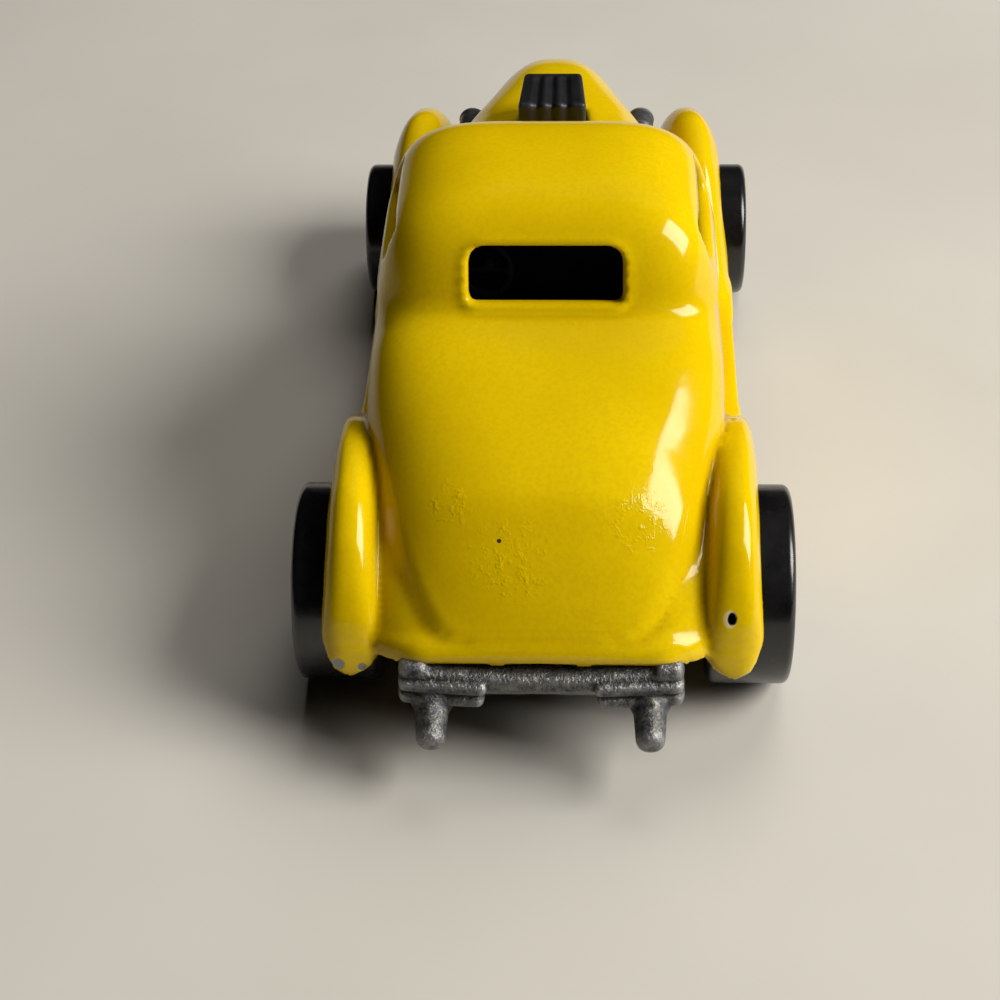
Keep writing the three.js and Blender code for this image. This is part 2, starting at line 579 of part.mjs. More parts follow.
function bodyShell() {
  const boards = bothSides(
    box(
      CAB_HALF_WIDTH - 1.5,
      RUNNING_BOARD_HALF,
      REAR_TYRE_RADIUS + 5,
      FRONT_AXLE - FRONT_TYRE_RADIUS - 3,
      SILL_HEIGHT,
      SILL_HEIGHT + RUNNING_BOARD_THICKNESS,
    ),
  );
  const skin = join(
    hull(0, 22, 14),
    cab(0, 6, 28),
    bothSides(fender(rearFender, 0, 14, 8)),
    bothSides(fender(frontFender, 0, 14, 8)),
    boards,
    tailApron(),
    catwalk(),
  );
  const cavity = join(hull(WALL, 12, 8), cab(WALL, 4, 20));
  const fenderCavity = join(
    bothSides(fender(rearFender, WALL, 8, 4)),
    bothSides(fender(frontFender, WALL, 8, 4)),
    bothSides(rearWell),
    bothSides(frontWell),
  );
  const windowFoot = BELT_HEIGHT + WINDOW_SILL;
  const rearFoot = BELT_HEIGHT + REAR_WINDOW_SILL;
  const sideBack = (CAB_BACK + CAB_FRONT - SIDE_WINDOW_LENGTH) / 2;
  const pane = (left, width, foot, height) =>
    roundedOutline(left, left + width, foot, foot + height, WINDOW_CORNER);
  const rearPane = pane(-REAR_WINDOW_WIDTH / 2, REAR_WINDOW_WIDTH, rearFoot, REAR_WINDOW_HEIGHT);
  const rearCutter = alongY(rearPane, CAB_BACK - 2, CAB_BACK + 6);
  const rearWindow = tilted(rearCutter, CAB_BACK, rearFoot, -Math.atan(BACK_RAKE));
  const frontPane = pane(-WINDSHIELD_WIDTH / 2, WINDSHIELD_WIDTH, windowFoot, WINDSHIELD_HEIGHT);
  const windshield = alongY(frontPane, CAB_FRONT - CAB_LENGTH / 2, CAB_FRONT + 3);
  const sidePane = pane(sideBack, SIDE_WINDOW_LENGTH, windowFoot, SIDE_WINDOW_HEIGHT);
  const sideWindows = alongX(sidePane, -CAB_HALF_WIDTH - 2, CAB_HALF_WIDTH + 2);
  const hoodOpening = alongZ(scoopPlan(GAP), BELT_HEIGHT - 6, BELT_HEIGHT + 3);
  const noseOpening = alongY(grilleShield(GAP), NOSE - 3, NOSE + 2, 5);
  const tailHalf = BUMPER_HALF + GAP;
  const tailEdge = box(-tailHalf, tailHalf, TAIL - 3, TAIL + 3, -1, TAIL_LIP_HEIGHT);
  const underTongue = new THREE.Shape();
  const tongueTip = rearFender.ridge(REAR_FENDER_BACK);
  underTongue.moveTo(tailHalf, 0);
  underTongue.lineTo(tailHalf, FENDER_TAIL_HEIGHT + 1);
  underTongue.quadraticCurveTo(tongueTip - 1.4, FENDER_TAIL_HEIGHT, tongueTip, FENDER_TAIL_HEIGHT);
  underTongue.quadraticCurveTo(
    tongueTip + 1.2,
    FENDER_TAIL_HEIGHT,
    tongueTip + 1.5,
    FENDER_TAIL_HEIGHT + 1.8,
  );
  underTongue.lineTo(REAR_FACE, FENDER_TAIL_HEIGHT + 1.8);
  underTongue.lineTo(REAR_FACE, 0);
  const tongueEdge = alongY(underTongue, REAR_FENDER_BACK - 1, 0, 5);
  const notchTop = TAIL_LIP_HEIGHT + 0.2;
  const bumperNotch = box(BUMPER_HALF - 2, tailHalf, TAIL - 3, TAIL + 3, 0, notchTop);
  const axleNotch = (face, y, radius) =>
    box(-face, face, y - AXLE_SLOT, y + AXLE_SLOT, -1, radius + AXLE_SLOT);
  const rearAxleNotch = axleNotch(REAR_FACE, 0, REAR_TYRE_RADIUS);
  const frontAxleNotch = axleNotch(FRONT_FACE, FRONT_AXLE, FRONT_TYRE_RADIUS);
  const lampSocket = upright(
    LAMP_OFFSET,
    FRONT_AXLE + LAMP_FORWARD,
    SILL_HEIGHT,
    LAMP_HEIGHT,
    LAMP_STEM_RADIUS + GAP,
    10,
  );
  const post = (y) => {
    const roof = Math.min(hullTop(y - POST_RADIUS), hullTop(y + POST_RADIUS)) - WALL / 2;
    const column = upright(0, y, BASE_TOP + GAP, roof, POST_RADIUS, 16);
    const bore = upright(0, y, 0, BASE_TOP + GAP + RIVET_LENGTH, RIVET_RADIUS + RUNNING_GAP, 16);
    return cut(column, bore);
  };
  const shell = cut(
    skin,
    cavity,
    fenderCavity,
    rearWindow,
    windshield,
    sideWindows,
    hoodOpening,
    noseOpening,
    tailEdge,
    bothSides(tongueEdge),
    bothSides(bumperNotch),
    rearAxleNotch,
    frontAxleNotch,
    bothSides(lampSocket),
  );
  return join(shell, post(REAR_POST), post(FRONT_POST));
}

// The base plate narrows past the wheels and follows the hood towards the nose.
const BASE_REAR_HALF = Math.min(REAR_INNER - WELL_SIDE_GAP, hullHalf(TAIL + 5)) - WALL - GAP;
const BASE_DOOR_HALF = CAB_HALF_WIDTH - WALL;
const BASE_NOSE_HALF = 3;
const FRONT_SADDLE = hullHalf(FRONT_AXLE + SADDLE_HALF_LENGTH + WALL) - WALL - GAP - SADDLE_WIDTH / 2;

function baseOutline() {
  const outline = new THREE.Shape();
  const rear = TAIL + 3.4;
  const corners = [
    [BASE_REAR_HALF - 1.5, rear],
    [BASE_REAR_HALF, rear + 1.5],
    [BASE_REAR_HALF, REAR_TYRE_RADIUS + 2],
    [BASE_DOOR_HALF, REAR_TYRE_RADIUS + 4],
    [BASE_DOOR_HALF, CAB_FRONT - 2],
    [hullHalf(FRONT_AXLE - 8), FRONT_AXLE - 8],
    [hullHalf(FRONT_AXLE) - 0.4, FRONT_AXLE],
    [BASE_NOSE_HALF, NOSE - 1.2],
  ];
  corners.forEach(([x, y], i) => (i === 0 ? outline.moveTo(x, y) : outline.lineTo(x, y)));
  corners.reverse().forEach(([x, y]) => outline.lineTo(-x, y));
  return outline;
}

// A saddle is a cheek on the base with an open slot that the axle drops into.
function saddle(x, y, axleHeight) {
  const front = y + SADDLE_HALF_LENGTH;
  const back = y - SADDLE_HALF_LENGTH;
  const top = axleHeight + AXLE_RADIUS;
  const cheek = box(x - SADDLE_WIDTH / 2, x + SADDLE_WIDTH / 2, back, front, BASE_TOP - 0.5, top);
  const seat = crossBar(x - SADDLE_WIDTH, x + SADDLE_WIDTH, y, axleHeight, AXLE_SLOT, 16);
  const mouthTop = top + 3;
  const mouth = box(x - SADDLE_WIDTH, x + SADDLE_WIDTH, y - AXLE_SLOT, y + AXLE_SLOT, axleHeight, mouthTop);
  return cut(cheek, seat, mouth);
}

// A rounded rib along X whose plan bows back towards the middle of the bumper.
function bumperRib(x0, x1, height, depth, thickness, setBack) {
  const rings = easedSteps(x0, x1, 6).map((x) => {
    const bow = BUMPER_BOW * (1 - (x / BUMPER_HALF) ** 2);
    return Array.from({ length: 8 }, (unused, i) => {
      const angle = (2 * Math.PI * (i + 0.5)) / 8;
      const y = BUMPER_BACK + setBack - bow + (depth / 2) * (1 + signedPower(Math.cos(angle), 0.7));
      return at(x, y, height + (thickness / 2) * signedPower(Math.sin(angle), 0.7));
    });
  });
  return solid(loft(rings));
}

function rearBumper() {
  const beam = bumperRib(-BUMPER_HALF, BUMPER_HALF, BUMPER_HEIGHT, 1.7, 1.6, 0);
  const padRibs = [
    bumperRib(PAD_INNER, BUMPER_HALF, BUMPER_HEIGHT - 0.15, 1.3, 1.0, -0.35),
    bumperRib(PAD_INNER + 0.2, BUMPER_HALF, BUMPER_HEIGHT - 1.15, 1.8, 1.1, -0.3),
    bumperRib(BUMPER_HALF - 2.4, BUMPER_HALF - 0.1, BUMPER_HEIGHT + 0.75, 1.2, 0.9, 0.3),
  ];
  const pipe = bar(
    at(TAILPIPE_OFFSET, BUMPER_BACK + 1.2, BUMPER_HEIGHT - 1.2),
    at(TAILPIPE_OFFSET, PIPE_TIP, BUMPER_HEIGHT - 1.2 - TAILPIPE_LENGTH * TAILPIPE_DROOP),
    TAILPIPE_ROOT_RADIUS,
    TAILPIPE_TIP_RADIUS,
    14,
  );
  return join(beam, bothSides(join(...padRibs, pipe)));
}

function chassisBase() {
  const plate = alongZ(baseOutline(), BASE_UNDERSIDE, BASE_TOP);
  const riser = new THREE.Shape();
  riser.moveTo(TAIL + 6, BASE_UNDERSIDE);
  riser.lineTo(TAIL + 6, BASE_TOP);
  riser.lineTo(TAIL + 3, BASE_TOP);
  riser.lineTo(TAIL + 1.6, BUMPER_HEIGHT + 0.6);
  riser.lineTo(TAIL + 0.4, BUMPER_HEIGHT + 0.6);
  riser.lineTo(TAIL + 0.4, BUMPER_HEIGHT - 1);
  riser.lineTo(TAIL + 3, BASE_UNDERSIDE);
  const tail = alongX(riser, -PAD_INNER - 2.5, PAD_INNER + 2.5);
  const rearSaddle = saddle(BASE_REAR_HALF - SADDLE_WIDTH, 0, REAR_TYRE_RADIUS);
  const frontSaddle = saddle(FRONT_SADDLE, FRONT_AXLE, FRONT_TYRE_RADIUS);
  const under = (x, y) => at(x, y, BASE_UNDERSIDE);
  const gearboxBack = CAB_FRONT - 3;
  const sumpBack = FRONT_AXLE - 11.5;
  const shaft = bar(under(0, 1), under(0, gearboxBack + 1), SHAFT_RADIUS, SHAFT_RADIUS + 0.1, 12);
  const gearboxEnds = [under(0, gearboxBack), under(0, sumpBack + 0.5)];
  const gearbox = bar(...gearboxEnds, SHAFT_RADIUS + 0.2, GEARBOX_RADIUS, 12);
  const sump = bar(under(0, sumpBack), under(0, sumpBack + 6.5), SUMP_RADIUS, SUMP_RADIUS, 8);
  const ball = new THREE.SphereGeometry(SUMP_RADIUS, 12, 8).translate(0, 0.6, BASE_UNDERSIDE);
  const differential = solid(ball);
  const exhaustX = TAILPIPE_OFFSET - EXHAUST_INSET;
  const exhaustEnds = [under(exhaustX, TAIL + 5), under(exhaustX, CAB_FRONT + 3)];
  const exhaust = bar(...exhaustEnds, EXHAUST_RADIUS, EXHAUST_RADIUS, 8);
  const rivetHole = (y) => upright(0, y, 0, BASE_TOP + 2, RIVET_RADIUS + RUNNING_GAP, 16);
  const headSeat = (y) =>
    upright(0, y, 0, BASE_UNDERSIDE + RIVET_SEAT_DEPTH, RIVET_HEAD_RADIUS + GAP, 20);
  const whole = join(
    plate,
    tail,
    rearBumper(),
    bothSides(join(rearSaddle, frontSaddle, exhaust)),
    shaft,
    gearbox,
    sump,
    differential,
  );
  const posts = [REAR_POST, FRONT_POST];
  return cut(whole, ...posts.map(rivetHole), ...posts.map(headSeat));
}

// The seat moulding drops between the doors and stands on the base.
const TUB_HALF = hullHalf(CAB_FRONT) - WALL - 2 * GAP;
const TUB_BACK = CAB_BACK + WALL + 2 * GAP;
const TUB_FRONT = CAB_FRONT - WALL;
const TUB_FLOOR = BASE_TOP + GAP;
const TUB_TOP = BELT_HEIGHT - 4.8;
const SEAT_HEIGHT = TUB_FLOOR + 6.2;

function interiorTub() {
  const plan = (inset, corner) =>
    roundedOutline(-TUB_HALF + inset, TUB_HALF - inset, TUB_BACK + inset, TUB_FRONT - inset, corner);
  const outer = alongZ(plan(0, 1.2), TUB_FLOOR, TUB_TOP);
  const hollow = alongZ(plan(WALL, 0.8), TUB_FLOOR + WALL, TUB_TOP + 1);
  const bench = new THREE.Shape();
  bench.moveTo(TUB_BACK + 0.4, TUB_FLOOR + 0.5);
  bench.lineTo(TUB_BACK + 8, TUB_FLOOR + 0.5);
  bench.quadraticCurveTo(TUB_BACK + 8.4, SEAT_HEIGHT, TUB_BACK + 7, SEAT_HEIGHT);
  bench.lineTo(TUB_BACK + 3.4, SEAT_HEIGHT - 0.6);
  bench.lineTo(TUB_BACK + 2.2, TUB_TOP + 0.8);
  bench.quadraticCurveTo(TUB_BACK + 1.4, TUB_TOP + 2, TUB_BACK + 0.4, TUB_TOP + 1);
  const seat = alongX(bench, -TUB_HALF + 0.5, TUB_HALF - 0.5, 5);
  const dash = new THREE.Shape();
  dash.moveTo(TUB_FRONT - 0.3, TUB_TOP - 4);
  dash.lineTo(TUB_FRONT - 0.3, TUB_TOP + 0.6);
  dash.quadraticCurveTo(TUB_FRONT - 2.6, TUB_TOP + 0.9, TUB_FRONT - 2.6, TUB_TOP - 0.8);
  dash.lineTo(TUB_FRONT - 1.4, TUB_TOP - 4);
  const panel = alongX(dash, -TUB_HALF + WALL, TUB_HALF - WALL, 4);
  const wheelCentre = at(-TUB_HALF / 2, TUB_FRONT - 4.6, TUB_TOP - 0.4);
  const rim = new THREE.TorusGeometry(1.7, 0.28, 6, 20);
  rim.rotateX(Math.PI / 2 - 0.45).translate(...wheelCentre.toArray());
  const column = bar(wheelCentre, at(wheelCentre.x, TUB_FRONT - 1.8, TUB_TOP - 1.8), 0.35, 0.35, 8);
  const spoke = crossBar(wheelCentre.x - 1.7, wheelCentre.x + 1.7, wheelCentre.y, wheelCentre.z, 0.24, 6);
  return join(cut(outer, hollow), seat, panel, solid(rim), column, spoke);
}

// The scoop is a tapered block with lengthwise grooves over its top and ends, an intake in front,
// a flange under the hood that keeps it from coming out, and a block that stands on the base.
function engineScoop() {
  const hoodUnder = hullTop(SCOOP_FRONT + FLANGE_LIP + WALL) - WALL;
  const scoopTop = hullTop((SCOOP_BACK + SCOOP_FRONT) / 2) + SCOOP_RISE;
  const neck = alongZ(scoopPlan(0), hoodUnder - 2, scoopTop);
  const grooves = Array.from({ length: SCOOP_GROOVES }, (unused, i) => {
    const x = (SCOOP_FRONT_WIDTH / (SCOOP_GROOVES + 1)) * (i - (SCOOP_GROOVES - 1) / 2);
    const slot = (front, low) =>
      box(x - GROOVE_HALF, x + GROOVE_HALF, SCOOP_BACK - 1, front, low, scoopTop + 1);
    const over = slot(SCOOP_FRONT + 1, scoopTop - GROOVE_DEPTH);
    const down = slot(SCOOP_BACK + GROOVE_DEPTH, hoodUnder + 2);
    return join(over, down);
  });
  const intake = box(
    -SCOOP_FRONT_WIDTH / 2 + 0.5,
    SCOOP_FRONT_WIDTH / 2 - 0.5,
    SCOOP_FRONT - 1.2,
    SCOOP_FRONT + 1,
    scoopTop - 1.7,
    scoopTop - 0.7,
  );
  const flangeTop = hoodUnder - 3 * GAP;
  const flange = alongZ(scoopPlan(FLANGE_LIP), flangeTop - 1, flangeTop);
  const block = alongZ(scoopPlan(-0.4), BASE_TOP + GAP, flangeTop - 0.5);
  return join(cut(neck, ...grooves, intake), flange, block);
}

// A headlamp is a turned shell with a domed back, a rimmed lens in front and a stem into the fender.
function headlamp(side) {
  const profile = [
    [0, -LAMP_LENGTH * 0.6],
    [LAMP_RADIUS * 0.5, -LAMP_LENGTH * 0.54],
    [LAMP_RADIUS * 0.8, -LAMP_LENGTH * 0.38],
    [LAMP_RADIUS * 0.95, -LAMP_LENGTH * 0.1],
    [LAMP_RADIUS * 0.95, LAMP_LENGTH * 0.2],
    [LAMP_RADIUS, LAMP_LENGTH * 0.24],
    [LAMP_RADIUS, LAMP_LENGTH * 0.36],
    [LAMP_RADIUS * 0.85, LAMP_LENGTH * 0.36],
    [LAMP_RADIUS * 0.5, LAMP_LENGTH * 0.4],
    [0, LAMP_LENGTH * 0.42],
  ].map(([r, y]) => new THREE.Vector2(r, y));
  const x = side * LAMP_OFFSET;
  const y = FRONT_AXLE + LAMP_FORWARD;
  const shell = solid(new THREE.LatheGeometry(profile, 14).translate(x, y, LAMP_HEIGHT));
  const stemTop = LAMP_HEIGHT - LAMP_RADIUS / 2;
  const stem = upright(x, y, CATWALK_HEIGHT - 1.5 * WALL, stemTop, LAMP_STEM_RADIUS, 10);
  return join(shell, stem);
}

// The grille is a shield plate with upright bars standing proud of it.
function grilleInsert() {
  const front = NOSE - GRILLE_RECESS;
  const plate = alongY(grilleShield(0), FRONT_POST + POST_RADIUS + GAP, front, 4);
  const pitch = (2 * GRILLE_HALF_WIDTH) / (GRILLE_BARS + 1);
  const bars = Array.from({ length: GRILLE_BARS }, (unused, i) => {
    const x = pitch * (i - (GRILLE_BARS - 1) / 2);
    const upper = GRILLE_TOP - 1.4;
    return upright(x, front, GRILLE_FOOT + 2.6, upper, pitch * 0.3, 8);
  });
  return join(plate, ...bars);
}

// A tyre is a ring turned about X with a flat tread and rounded shoulders.
function tyre(radius, width, faceX, y, side) {
  const bore = radius - TYRE_WALL;
  const half = width / 2;
  const profile = [
    [bore, -half + 0.4],
    [bore + 0.4, -half],
    [radius - TREAD_ROUND, -half],
    [radius - 0.3 * TREAD_ROUND, -half + 0.3 * TREAD_ROUND],
    [radius, -half + TREAD_ROUND],
    [radius, half - TREAD_ROUND],
    [radius - 0.3 * TREAD_ROUND, half - 0.3 * TREAD_ROUND],
    [radius - TREAD_ROUND, half],
    [bore + 0.4, half],
    [bore, half - 0.4],
    [bore, -half + 0.4],
  ].map(([r, x]) => new THREE.Vector2(r, x));
  const geometry = new THREE.LatheGeometry(profile, WHEEL_STEPS).rotateZ(Math.PI / 2);
  return solid(geometry.translate(side * (faceX - half), y, radius));
}

// A hub is a turned barrel with a dished face, cut through between its spokes, and an axle bore.
function hub(radius, width, faceX, y, side) {
  const rim = radius - TYRE_WALL - 0.1;
  const half = width / 2;
  const web = half - HUB_DISH - 1.7;
  const profile = [
    [HUB_BORE, -half + 0.6],
    [HUB_BOSS_RADIUS, -half + 0.6],
    [HUB_BOSS_RADIUS, web],
    [rim - HUB_RIM_WALL, web],
    [rim - HUB_RIM_WALL, -half + 0.5],
    [rim, -half + 0.5],
    [rim, half - 0.4],
    [rim - HUB_RIM_WALL, half - HUB_DISH - 0.3],
    [HUB_BOSS_RADIUS, half - HUB_DISH - 0.4],
    [HUB_BORE, half - HUB_DISH],
    [HUB_BORE, -half + 0.6],
  ].map(([r, x]) => new THREE.Vector2(r, x));
  const barrel = solid(new THREE.LatheGeometry(profile, 16).rotateZ(-Math.PI / 2));
  const inner = HUB_BOSS_RADIUS + 0.45;
  const outer = rim - HUB_RIM_WALL - 0.3;
  const openings = Array.from({ length: SPOKES }, (unused, i) => {
    const middle = (2 * Math.PI * (i + 0.5)) / SPOKES;
    const spread = Math.PI / SPOKES - 0.3;
    const outline = new THREE.Shape();
    outline.absarc(0, 0, outer, middle - spread, middle + spread, false);
    outline.absarc(0, 0, inner, middle + spread * 0.6, middle - spread * 0.6, true);
    outline.closePath();
    return alongX(outline, half - 3.5, half + 1, 2);
  });
  const shape = cut(barrel, ...openings).translate([faceX - half, y, radius]);
  return side > 0 ? shape : mirrored(shape);
}

// An axle is a plain wire with a head at each end, outside the hub's boss.
function axle(faceX, y, height) {
  const end = faceX - HUB_DISH + RUNNING_GAP;
  const tip = end + AXLE_HEAD_LENGTH;
  const wire = crossBar(-end - 0.1, end + 0.1, y, height, AXLE_RADIUS, 12);
  const head = bar(at(end, y, height), at(tip, y, height), AXLE_HEAD_RADIUS, AXLE_HEAD_RADIUS * 0.7, 16);
  return join(wire, bothSides(head));
}

// A rivet is a shank up into a body post and a domed head in the base's seat.
function rivet(y) {
  const profile = [
    [0, -0.75],
    [RIVET_HEAD_RADIUS * 0.55, -0.62],
    [RIVET_HEAD_RADIUS * 0.9, -0.3],
    [RIVET_HEAD_RADIUS, 0],
    [RIVET_RADIUS, 0],
    [RIVET_RADIUS, RIVET_LENGTH],
    [0, RIVET_LENGTH],
  ].map(([r, z]) => new THREE.Vector2(r, z));
  const geometry = new THREE.LatheGeometry(profile, 14).rotateX(Math.PI / 2);
  return solid(geometry.translate(0, y, BASE_UNDERSIDE + RIVET_SEAT_DEPTH - GAP / 2));
}

const YELLOW_PAINT = { color: 0xe8c012, roughness: 0.22, metalness: 0.0 };
const BARE_ZINC = { color: 0x85868a, roughness: 0.5, metalness: 0.9 };
const DARK_METAL = { color: 0x5f6064, roughness: 0.45, metalness: 0.9 };
const BLACK_MOULDING = { color: 0x16171a, roughness: 0.55, metalness: 0.0 };
const BLACK_TYRE = { color: 0x0b0b0c, roughness: 0.3, metalness: 0.0 };
const STEEL = { color: 0xa9abb0, roughness: 0.3, metalness: 1.0 };

const car = new THREE.Group();
car.position.set(0, -CENTRE, 0);
car.add(piece("body_shell", bodyShell(), YELLOW_PAINT));
car.add(piece("chassis_base", chassisBase(), BARE_ZINC));
car.add(piece("interior_tub", interiorTub(), BLACK_MOULDING));
car.add(piece("engine_scoop", engineScoop(), BLACK_MOULDING));
car.add(piece("grille_insert", grilleInsert(), DARK_METAL));
car.add(piece("rear_axle", axle(REAR_FACE, 0, REAR_TYRE_RADIUS), STEEL));
car.add(piece("front_axle", axle(FRONT_FACE, FRONT_AXLE, FRONT_TYRE_RADIUS), STEEL));
car.add(piece("rear_rivet", rivet(REAR_POST), BARE_ZINC));
car.add(piece("front_rivet", rivet(FRONT_POST), BARE_ZINC));

const SIDES = { left: -1, right: 1 };
const WHEEL_SETS = {
  front: [FRONT_TYRE_RADIUS, FRONT_TYRE_WIDTH, FRONT_FACE, FRONT_AXLE],
  rear: [REAR_TYRE_RADIUS, REAR_TYRE_WIDTH, REAR_FACE, 0],
};
for (const [sideName, side] of Object.entries(SIDES)) {
  car.add(piece(`headlight_${sideName}`, headlamp(side), DARK_METAL));
  for (const [endName, sizes] of Object.entries(WHEEL_SETS)) {
    car.add(piece(`tyre_${endName}_${sideName}`, tyre(...sizes, side), BLACK_TYRE));
    car.add(piece(`hub_${endName}_${sideName}`, hub(...sizes, side), BLACK_TYRE));
  }
}

const model = new THREE.Group();
model.add(car);
export default model;
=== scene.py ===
import math

import bmesh
import bpy
import numpy as np
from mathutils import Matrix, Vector


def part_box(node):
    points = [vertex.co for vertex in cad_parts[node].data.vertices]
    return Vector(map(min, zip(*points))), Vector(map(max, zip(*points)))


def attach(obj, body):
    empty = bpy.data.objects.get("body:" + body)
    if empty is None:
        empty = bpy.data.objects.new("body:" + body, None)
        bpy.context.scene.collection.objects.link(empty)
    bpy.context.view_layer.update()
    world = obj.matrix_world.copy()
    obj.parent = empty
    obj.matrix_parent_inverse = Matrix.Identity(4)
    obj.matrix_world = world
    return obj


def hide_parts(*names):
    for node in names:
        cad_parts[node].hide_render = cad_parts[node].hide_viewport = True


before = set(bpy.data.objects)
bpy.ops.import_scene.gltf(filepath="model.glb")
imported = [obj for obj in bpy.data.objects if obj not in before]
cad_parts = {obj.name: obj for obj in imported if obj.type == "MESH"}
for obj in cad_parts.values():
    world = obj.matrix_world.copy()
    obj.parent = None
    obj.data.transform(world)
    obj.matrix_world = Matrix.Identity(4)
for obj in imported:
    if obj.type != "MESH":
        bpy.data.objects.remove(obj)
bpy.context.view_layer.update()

# The camera stands behind and above the toy, a little to its right, as a person looks down at it
# on a table. Places are in millimetres from the rear axle and the ground until they reach a mesh.
MM = 0.001
axle_low, axle_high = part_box("rear_axle")
ORIGIN = np.array([0.0, -(axle_low.y + axle_high.y) / 2 / MM, 0.0])
CAMERA_PLACE = (3.190, -101.489, 100.117)
CAMERA_PITCH, CAMERA_YAW, CAMERA_ROLL = np.radians((40.4174, -3.3470, -1.8136))
CAMERA_LENS = 75.557
SENSOR = 36.0


def aim(pitch, yaw, roll):
    """The camera's turn as a matrix: its sight line is yawed from +Y and pitched down, its right
    is level, and right and up are then both turned by roll about the sight line."""
    sight = np.array([np.sin(yaw) * np.cos(pitch), np.cos(yaw) * np.cos(pitch), -np.sin(pitch)])
    right = np.array([np.cos(yaw), -np.sin(yaw), 0.0])
    up = np.cross(right, sight)
    turned_right = np.cos(roll) * right + np.sin(roll) * up
    turned_up = np.cos(roll) * up - np.sin(roll) * right
    turn = np.eye(4)
    turn[:3, :3] = np.column_stack([turned_right, turned_up, -sight])
    return turn


camera_data = bpy.data.cameras.new("camera")
camera_data.lens = CAMERA_LENS
camera_data.sensor_width = SENSOR
camera_data.sensor_fit = "HORIZONTAL"
camera_data.clip_start = 0.005
camera_data.clip_end = 20.0
camera = bpy.data.objects.new("camera", camera_data)
placed = aim(CAMERA_PITCH, CAMERA_YAW, CAMERA_ROLL)
placed[:3, 3] = (np.array(CAMERA_PLACE) - ORIGIN) * MM
camera.matrix_world = placed.T.tolist()
bpy.context.scene.collection.objects.link(camera)
bpy.context.scene.camera = camera

# The body is one hollow zinc casting, deck, cab, hood, fenders and running boards together, sprayed
# gloss yellow. Its surfaces run into each other through soft fillets, so it is worked out as a
# distance in space: each form is a field that is zero on its skin and negative inside.
WHEELBASE = 44.2
TAIL, NOSE = -9.7, 51.6
BELT, ROOF, SILL = 20.9, 27.18, 4.5
CAB_BACK, CAB_FRONT, CAB_HALF, CAB_FOOT = 10.1, 28.3, 11.5, 13.0
BACK_LEAN, SHIELD_LEAN, SIDE_LEAN = 0.36, 0.3, 0.22
PLAN_POWER, ROOF_POWER = 4.8, 3.8
HULL_END = TAIL - 0.4
WALL = 1.1
REAR_RADIUS, FRONT_RADIUS = 6.5, 5.2
REAR_TOP, FRONT_TOP = 2 * REAR_RADIUS, 2 * FRONT_RADIUS


def curve(points):
    """A smooth curve through [place, value] points that never swings past them: cubic pieces whose
    slope at each point is the harmonic mean of the chords beside it."""
    place, value = np.array(points, float).T
    chord = np.diff(value) / np.diff(place)
    product = chord[:-1] * chord[1:]
    mean = np.where(product > 0, 2 * product / np.where(product > 0, chord[:-1] + chord[1:], 1), 0)
    slope = np.concatenate([chord[:1], mean, chord[-1:]])

    def at(where):
        i = np.clip(np.searchsorted(place, where) - 1, 0, len(chord) - 1)
        span = place[i + 1] - place[i]
        t = np.clip((where - place[i]) / span, 0, 1)
        ease = t * t * (3 - 2 * t)
        start = t * (1 - t) ** 2 * span * slope[i]
        end = t * t * (t - 1) * span * slope[i + 1]
        return value[i] * (1 - ease) + value[i + 1] * ease + start + end

    return at


deck_line = curve([
    [HULL_END, 7.4], [TAIL + 0.9, 10.0], [TAIL + 2.2, 12.1], [TAIL + 4, 14.5],
    [TAIL + 6.6, 17.0], [CAB_BACK - 6.9, 19.3], [CAB_BACK, BELT], [CAB_FRONT, BELT - 0.5],
    [WHEELBASE - 4.2, 19.7], [WHEELBASE + 2, 18.9], [WHEELBASE + 5, 18], [NOSE - 0.5, 16.4], [NOSE, 14.6]])
flank_line = curve([
    [TAIL, 6.6], [TAIL + 1.7, 8.5], [TAIL + 5.7, 10.5], [0, 11.2], [CAB_BACK - 5, 11.7],
    [CAB_BACK + 1, CAB_HALF + 0.3], [CAB_FRONT - 7, CAB_HALF], [CAB_FRONT, 10.8],
    [WHEELBASE - 4.7, 7.8], [WHEELBASE, 6.1], [WHEELBASE + 4, 4.8], [NOSE - 0.6, 3.6], [NOSE, 2.8]])
spring_line = curve([
    [TAIL, 7], [0, 9], [CAB_BACK, 12], [CAB_FRONT, 13], [WHEELBASE, 11.5], [NOSE, 9]])
squareness = curve([
    [TAIL, 2.6], [0, 3.1], [CAB_BACK, 5], [CAB_FRONT, 5], [WHEELBASE - 5, 2.9], [NOSE, 2.7]])
REAR_FENDER_BACK, REAR_FENDER_FRONT = -(REAR_RADIUS + 2.1), REAR_RADIUS + 13.5
REAR_FENDER_END = REAR_FENDER_BACK - 0.5
FRONT_FENDER_BACK, FENDER_NOSE = WHEELBASE - FRONT_RADIUS - 8, WHEELBASE + FRONT_RADIUS + 3.4
